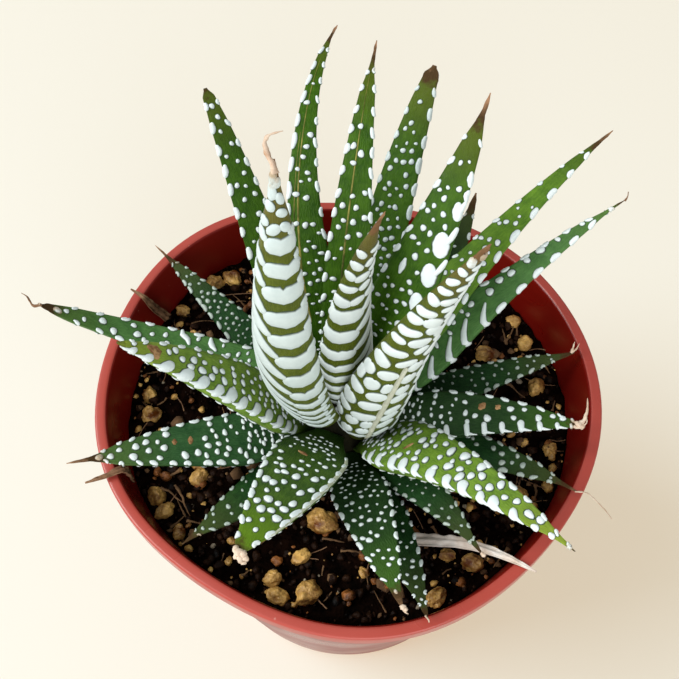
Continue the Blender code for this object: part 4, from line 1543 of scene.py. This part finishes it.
# What is scattered over the soil, by finish. Grit: how many, smallest and largest radius,
# how far it stands out, how tall it is, times its faces are split, roughness, seed. Chips:
# how many, then shortest and longest, thinnest and thickest.
PEBBLE_GRIT = (
    (420, (0.18, 1.0), 0.45, 0.8, 2, 0.40, 40),
    (190, (0.2, 1.2), 0.45, 0.8, 2, 0.45, 60),
    (90, (0.2, 0.7), 0.45, 0.8, 2, 0.40, 80),
)
CRUMB_GRIT = ((2600, (0.22, 1.15), 0.35, 0.6, 1, 0.6, 90), (160, (0.4, 1.6), 0.4, 0.5, 1, 0.6, 120))
BARK, FIBRE = 1, 2
CHIPS = ((110, (1.5, 5.0), (0.2, 0.8), BARK), (70, (2.0, 7.0), (0.12, 0.3), FIBRE))


def soil_level(x, y):
    waves = np.sin(x * 0.55 + 1.0) * np.cos(y * 0.47)
    ripple = np.sin(x * 1.3 - y * 0.9) * 0.5
    return SOIL_HEIGHT + 0.5 * (waves + ripple) / 1.5


def crumbly(x, y):
    """Height of the crumbs above the even level of the soil."""
    big = noise.fractal((x * 0.35, y * 0.35, 3.0), 0.9, 2.1, 3)
    fine = noise.fractal((x * 1.4, y * 1.4, 9.0), 0.8, 2.1, 3)
    return 0.75 * big + 0.5 * fine


def make_soil_bed():
    fabric = Fabric("soil")
    angle = turns(SOIL_SIDES)
    edge = out_of_round(wall_radius(SOIL_HEIGHT) - WALL - SOIL_CLEARANCE, angle, SOIL_HEIGHT)
    share = np.linspace(0.02, 1, SOIL_RINGS)[:, None]
    x, y = share * edge * np.cos(angle), share * edge * np.sin(angle)
    z = soil_level(x, y) + np.array([[crumbly(a, b) for a, b in zip(p, q)] for p, q in zip(x, y)])
    bottom = WALL + GAP
    low = out_of_round(wall_radius(bottom) - WALL - SOIL_CLEARANCE, angle, bottom)
    side = np.stack([low * np.cos(angle), low * np.sin(angle), np.full(SOIL_SIDES, bottom)], -1)
    points = np.concatenate([np.stack([x, y, z], -1).reshape(-1, 3), side])
    fabric.add(points, tube_faces(SOIL_RINGS + 1, SOIL_SIDES, flipped=True))
    fabric.make("soil_bed", "potting_soil", "soil")


def rock_template(level):
    """Unit sphere from an icosahedron split level times."""
    shape = bmesh.new()
    bmesh.ops.create_icosphere(shape, subdivisions=level, radius=1.0)
    points = np.array([v.co[:] for v in shape.verts])
    faces = np.array([[v.index for v in f.verts] for f in shape.faces])
    shape.free()
    return points, faces


def add_rocks(fabric, rocks, level, roughness, seed, finish=0):
    """rocks, rows of (x, y, z, radius, flatness, turn)."""
    sphere, faces = rock_template(level)
    for number, (x, y, z, radius, flat, turn) in enumerate(rocks):
        shift = Vector((number * 3.7 + seed, seed * 1.3, 0))
        bulge = np.array([
            1 + roughness * noise.fractal(Vector(p) * 1.1 + shift, 0.9, 2.0, 4) for p in sphere
        ])
        rock = sphere * bulge[:, None] * radius * np.array([1.0, 0.8, flat])
        cos, sin = math.cos(turn), math.sin(turn)
        rock = rock @ np.array([[cos, sin, 0], [-sin, cos, 0], [0, 0, 1]])
        fabric.add(rock + [x, y, z], [faces], finish)


def room(x, y):
    """How far a place on the soil is from the inside of the wall."""
    wall = out_of_round(wall_radius(SOIL_HEIGHT) - WALL, math.atan2(y, x), SOIL_HEIGHT)
    return float(wall) - math.hypot(x, y)


def scattered(rng, count, spare):
    """Random places on the soil, off the stem and spare millimetres from the wall."""
    places = []
    while len(places) < count:
        reach, turn = SCATTER_RADIUS * math.sqrt(rng.random()), rng.uniform(0, 2 * math.pi)
        x, y = reach * math.cos(turn), reach * math.sin(turn)
        off_stem = math.hypot(x - PLANT[0], y - PLANT[1]) > STEM_CLEARANCE
        if off_stem and room(x, y) > spare:
            places.append((x, y))
    return places


def scatter_grit(fabric, rng, count, sizes, depth, tall, level, roughness, seed, finish):
    """Stones at random, between two sizes, few of them large."""
    rows = []
    for x, y in scattered(rng, count, 0.3):
        radius = min(mix(*sizes, rng.random() ** 2.5), room(x, y) * 0.75)
        flat, turn = tall * rng.uniform(0.6, 1.1), rng.uniform(0, math.pi)
        rows.append((x, y, soil_level(x, y) + radius * depth, radius, flat, turn))
    add_rocks(fabric, rows, level, roughness, seed, finish)


def add_chips(fabric, rng, count, long, wide, finish):
    """Thin splinters and fibres that lie about at random tilts."""
    for x, y in scattered(rng, count, 1.6):
        turn, tilt = rng.uniform(0, 2 * math.pi), rng.uniform(-0.3, 0.3)
        length, thick = min(rng.uniform(*long), room(x, y) * 1.5), rng.uniform(*wide)
        ahead = np.array([math.cos(turn), math.sin(turn), tilt])
        aside = np.array([-math.sin(turn), math.cos(turn), 0.0])
        middle = np.array([x, y, soil_level(x, y) + 0.4 + abs(tilt) * length / 2])
        bend = rng.uniform(-0.12, 0.12) * length
        path = [
            middle + ahead * length * (t - 0.5) + aside * bend * (1 - (2 * t - 1) ** 2)
            for t in (0, 0.33, 0.66, 1)
        ]
        add_thread(fabric, np.array(path), thick, finish)


def pebble_rows(rng):
    """Rows for add_rocks: the open pebbles, moved in where they would touch the wall."""
    for x, y, size in PEBBLES:
        inward = 1 - max(0, size * 0.85 + 0.4 - room(x, y)) / math.hypot(x, y)
        x, y = x * inward, y * inward
        height = soil_level(x, y) + size * 0.22
        yield x, y, height, size * 0.80, rng.uniform(0.65, 0.9), rng.uniform(0, math.pi)


def make_soil_bits():
    rng = random.Random(SOIL_SEED)
    pebbles = Fabric("pumice", "rusty_grit", "grey_stone")
    add_rocks(pebbles, list(pebble_rows(rng)), level=4, roughness=0.30, seed=2)
    for finish, grit in enumerate(PEBBLE_GRIT):
        scatter_grit(pebbles, rng, *grit, finish)
    pebbles.make("pumice_pebbles", "potting_soil")
    crumbs = Fabric("crumbs", "bark", "brown_straw")
    for finish, grit in enumerate(CRUMB_GRIT):
        scatter_grit(crumbs, rng, *grit, finish)
    for chips in CHIPS:
        add_chips(crumbs, rng, *chips)
    for start, end, thick in SPLINTERS:
        start, end = np.array(start), np.array(end)
        path = [start, mix(start, end, 0.35) + 0.2, mix(start, end, 0.7), end]
        add_thread(crumbs, np.array(path), thick, BARK)
    crumbs.make("soil_crumbs", "potting_soil")


# ------------------------------------------------------------------------ withered bits

STRIP_TIP = 0.12
STRIP_THICKNESS = 0.26
FOLD_DEPTH, FOLD_PITCH = 0.22, 5.2


def make_strip(dry):
    """A flat withered leaf with folds along it and a fine tip."""
    places = along_points(dry.points, 10)
    count = len(places)
    heading = math.radians(dry.heading)
    across = np.array([-math.sin(heading), math.cos(heading), 0])
    above = unit(np.cross(np.gradient(places, axis=0), across))
    share = np.linspace(0, 1, count)
    half = mix(dry.width / 2, STRIP_TIP, share ** 2.2)
    columns = np.linspace(-1, 1, 9)
    fold = FOLD_DEPTH * np.cos(columns * FOLD_PITCH)
    ripple = np.array([[noise.noise((s * 14, c * 2.2, heading)) for c in columns] for s in share])
    top = (fold[None] + 0.5 * ripple) * np.minimum(half, 0.9)[:, None] + 0.12
    spread = columns[None] * half[:, None] * (1 + 0.12 * ripple)
    upper = places[:, None] + across * spread[..., None] + above[:, None] * top[..., None]
    lower = upper - above[:, None] * STRIP_THICKNESS
    points = np.concatenate([upper, lower[:, ::-1]], 1)
    fabric = Fabric(dry.finish)
    fabric.add(points, tube_faces(count, points.shape[1]))
    fabric.make(dry.name + "_folded", "dry_leaf", dry.name)


# ----------------------------------------------------------------- stage, light, camera

FLOOR_SIDE = 3.0
DAYLIGHT = (1.0, 0.99, 0.97)
CAMERA_SLOPE = 61.0         # how far it looks down at the middle of the rim, in degrees
CAMERA_DISTANCE = 155.0
CAMERA_TIP = 2.89           # how far it is then tipped up, and turned, in degrees
CAMERA_TURN = -0.47
LENS, SENSOR = 45.07, 36.0


def make_floor():
    mesh = bpy.data.meshes.new("floor")
    corners = [(x * FLOOR_SIDE, y * FLOOR_SIDE, 0) for x, y in ((-1, -1), (1, -1), (1, 1), (-1, 1))]
    mesh.from_pydata(corners, [], [(0, 1, 2, 3)])
    floor = put_in_scene("floor", mesh)
    finish = Finish("pale_floor", roughness=0.6)
    finish.shader.inputs["Base Color"].default_value = rgb(0.36, 0.45, 0.50)
    finish.shader.inputs["Emission Color"].default_value = rgb(1.0, 0.72, 0.38)
    finish.shader.inputs["Emission Strength"].default_value = 0.50
    mesh.materials.append(finish.material)
    floor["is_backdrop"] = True


def add_light(name, place, size, power):
    """A square lamp, its place in metres, aimed at the plant."""
    aim = Vector((0, 0, 0.08))
    lamp = bpy.data.lights.new(name, "AREA")
    lamp.size = size
    lamp.energy = power
    lamp.color = DAYLIGHT
    thing = put_in_scene(name, lamp)
    thing.location = place
    thing.rotation_euler = (aim - Vector(place)).to_track_quat("-Z", "Y").to_euler()


def make_lights():
    add_light("window", (-1.5, 0.05, 1.5), size=1.5, power=50.0)
    add_light("front_fill", (0.3, -1.5, 0.9), size=1.4, power=21.0)
    world = bpy.context.scene.world or bpy.data.worlds.new("studio")
    bpy.context.scene.world = world
    world.use_nodes = True
    sky = world.node_tree.nodes["Background"]
    sky.inputs["Color"].default_value = rgb(0.96, 0.99, 1.0)
    sky.inputs["Strength"].default_value = 0.30


def make_camera():
    """Looks down at the middle of the rim, then is tipped up and turned a little."""
    slope, tip, turn = (math.radians(a) for a in (CAMERA_SLOPE, CAMERA_TIP, CAMERA_TURN))
    right = Vector((1, 0, 0))
    ahead = Vector((0, math.cos(slope), -math.sin(slope)))
    up = right.cross(ahead)
    place = Vector((0, 0, POT_HEIGHT * MM)) - ahead * (CAMERA_DISTANCE * MM)
    tipped = ahead * math.cos(tip) + up * math.sin(tip)
    up = up * math.cos(tip) - ahead * math.sin(tip)
    aimed = tipped * math.cos(turn) + right * math.sin(turn)
    right = right * math.cos(turn) - tipped * math.sin(turn)
    lens = bpy.data.cameras.new("camera")
    lens.sensor_width = SENSOR
    lens.lens = LENS
    lens.clip_start = 0.005
    camera = put_in_scene("camera", lens)
    turned_to = Matrix((right, up, -aimed)).transposed().to_4x4()
    camera.matrix_world = Matrix.Translation(place) @ turned_to
    bpy.context.scene.camera = camera


def main():
    bpy.context.scene.view_settings.view_transform = "Standard"
    make_pot()
    make_soil_bed()
    make_soil_bits()
    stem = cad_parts["stem"]
    stem.data.materials.clear()
    stem.data.materials.append(FINISHES["stem"])
    for leaf in LEAVES:
        grow_leaf(leaf)
    for dry in DRY_LEAVES:
        make_strip(dry)
    make_floor()
    make_lights()
    make_camera()


main()
[[list(corner) for corner in box] for box in (cad_box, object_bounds())]
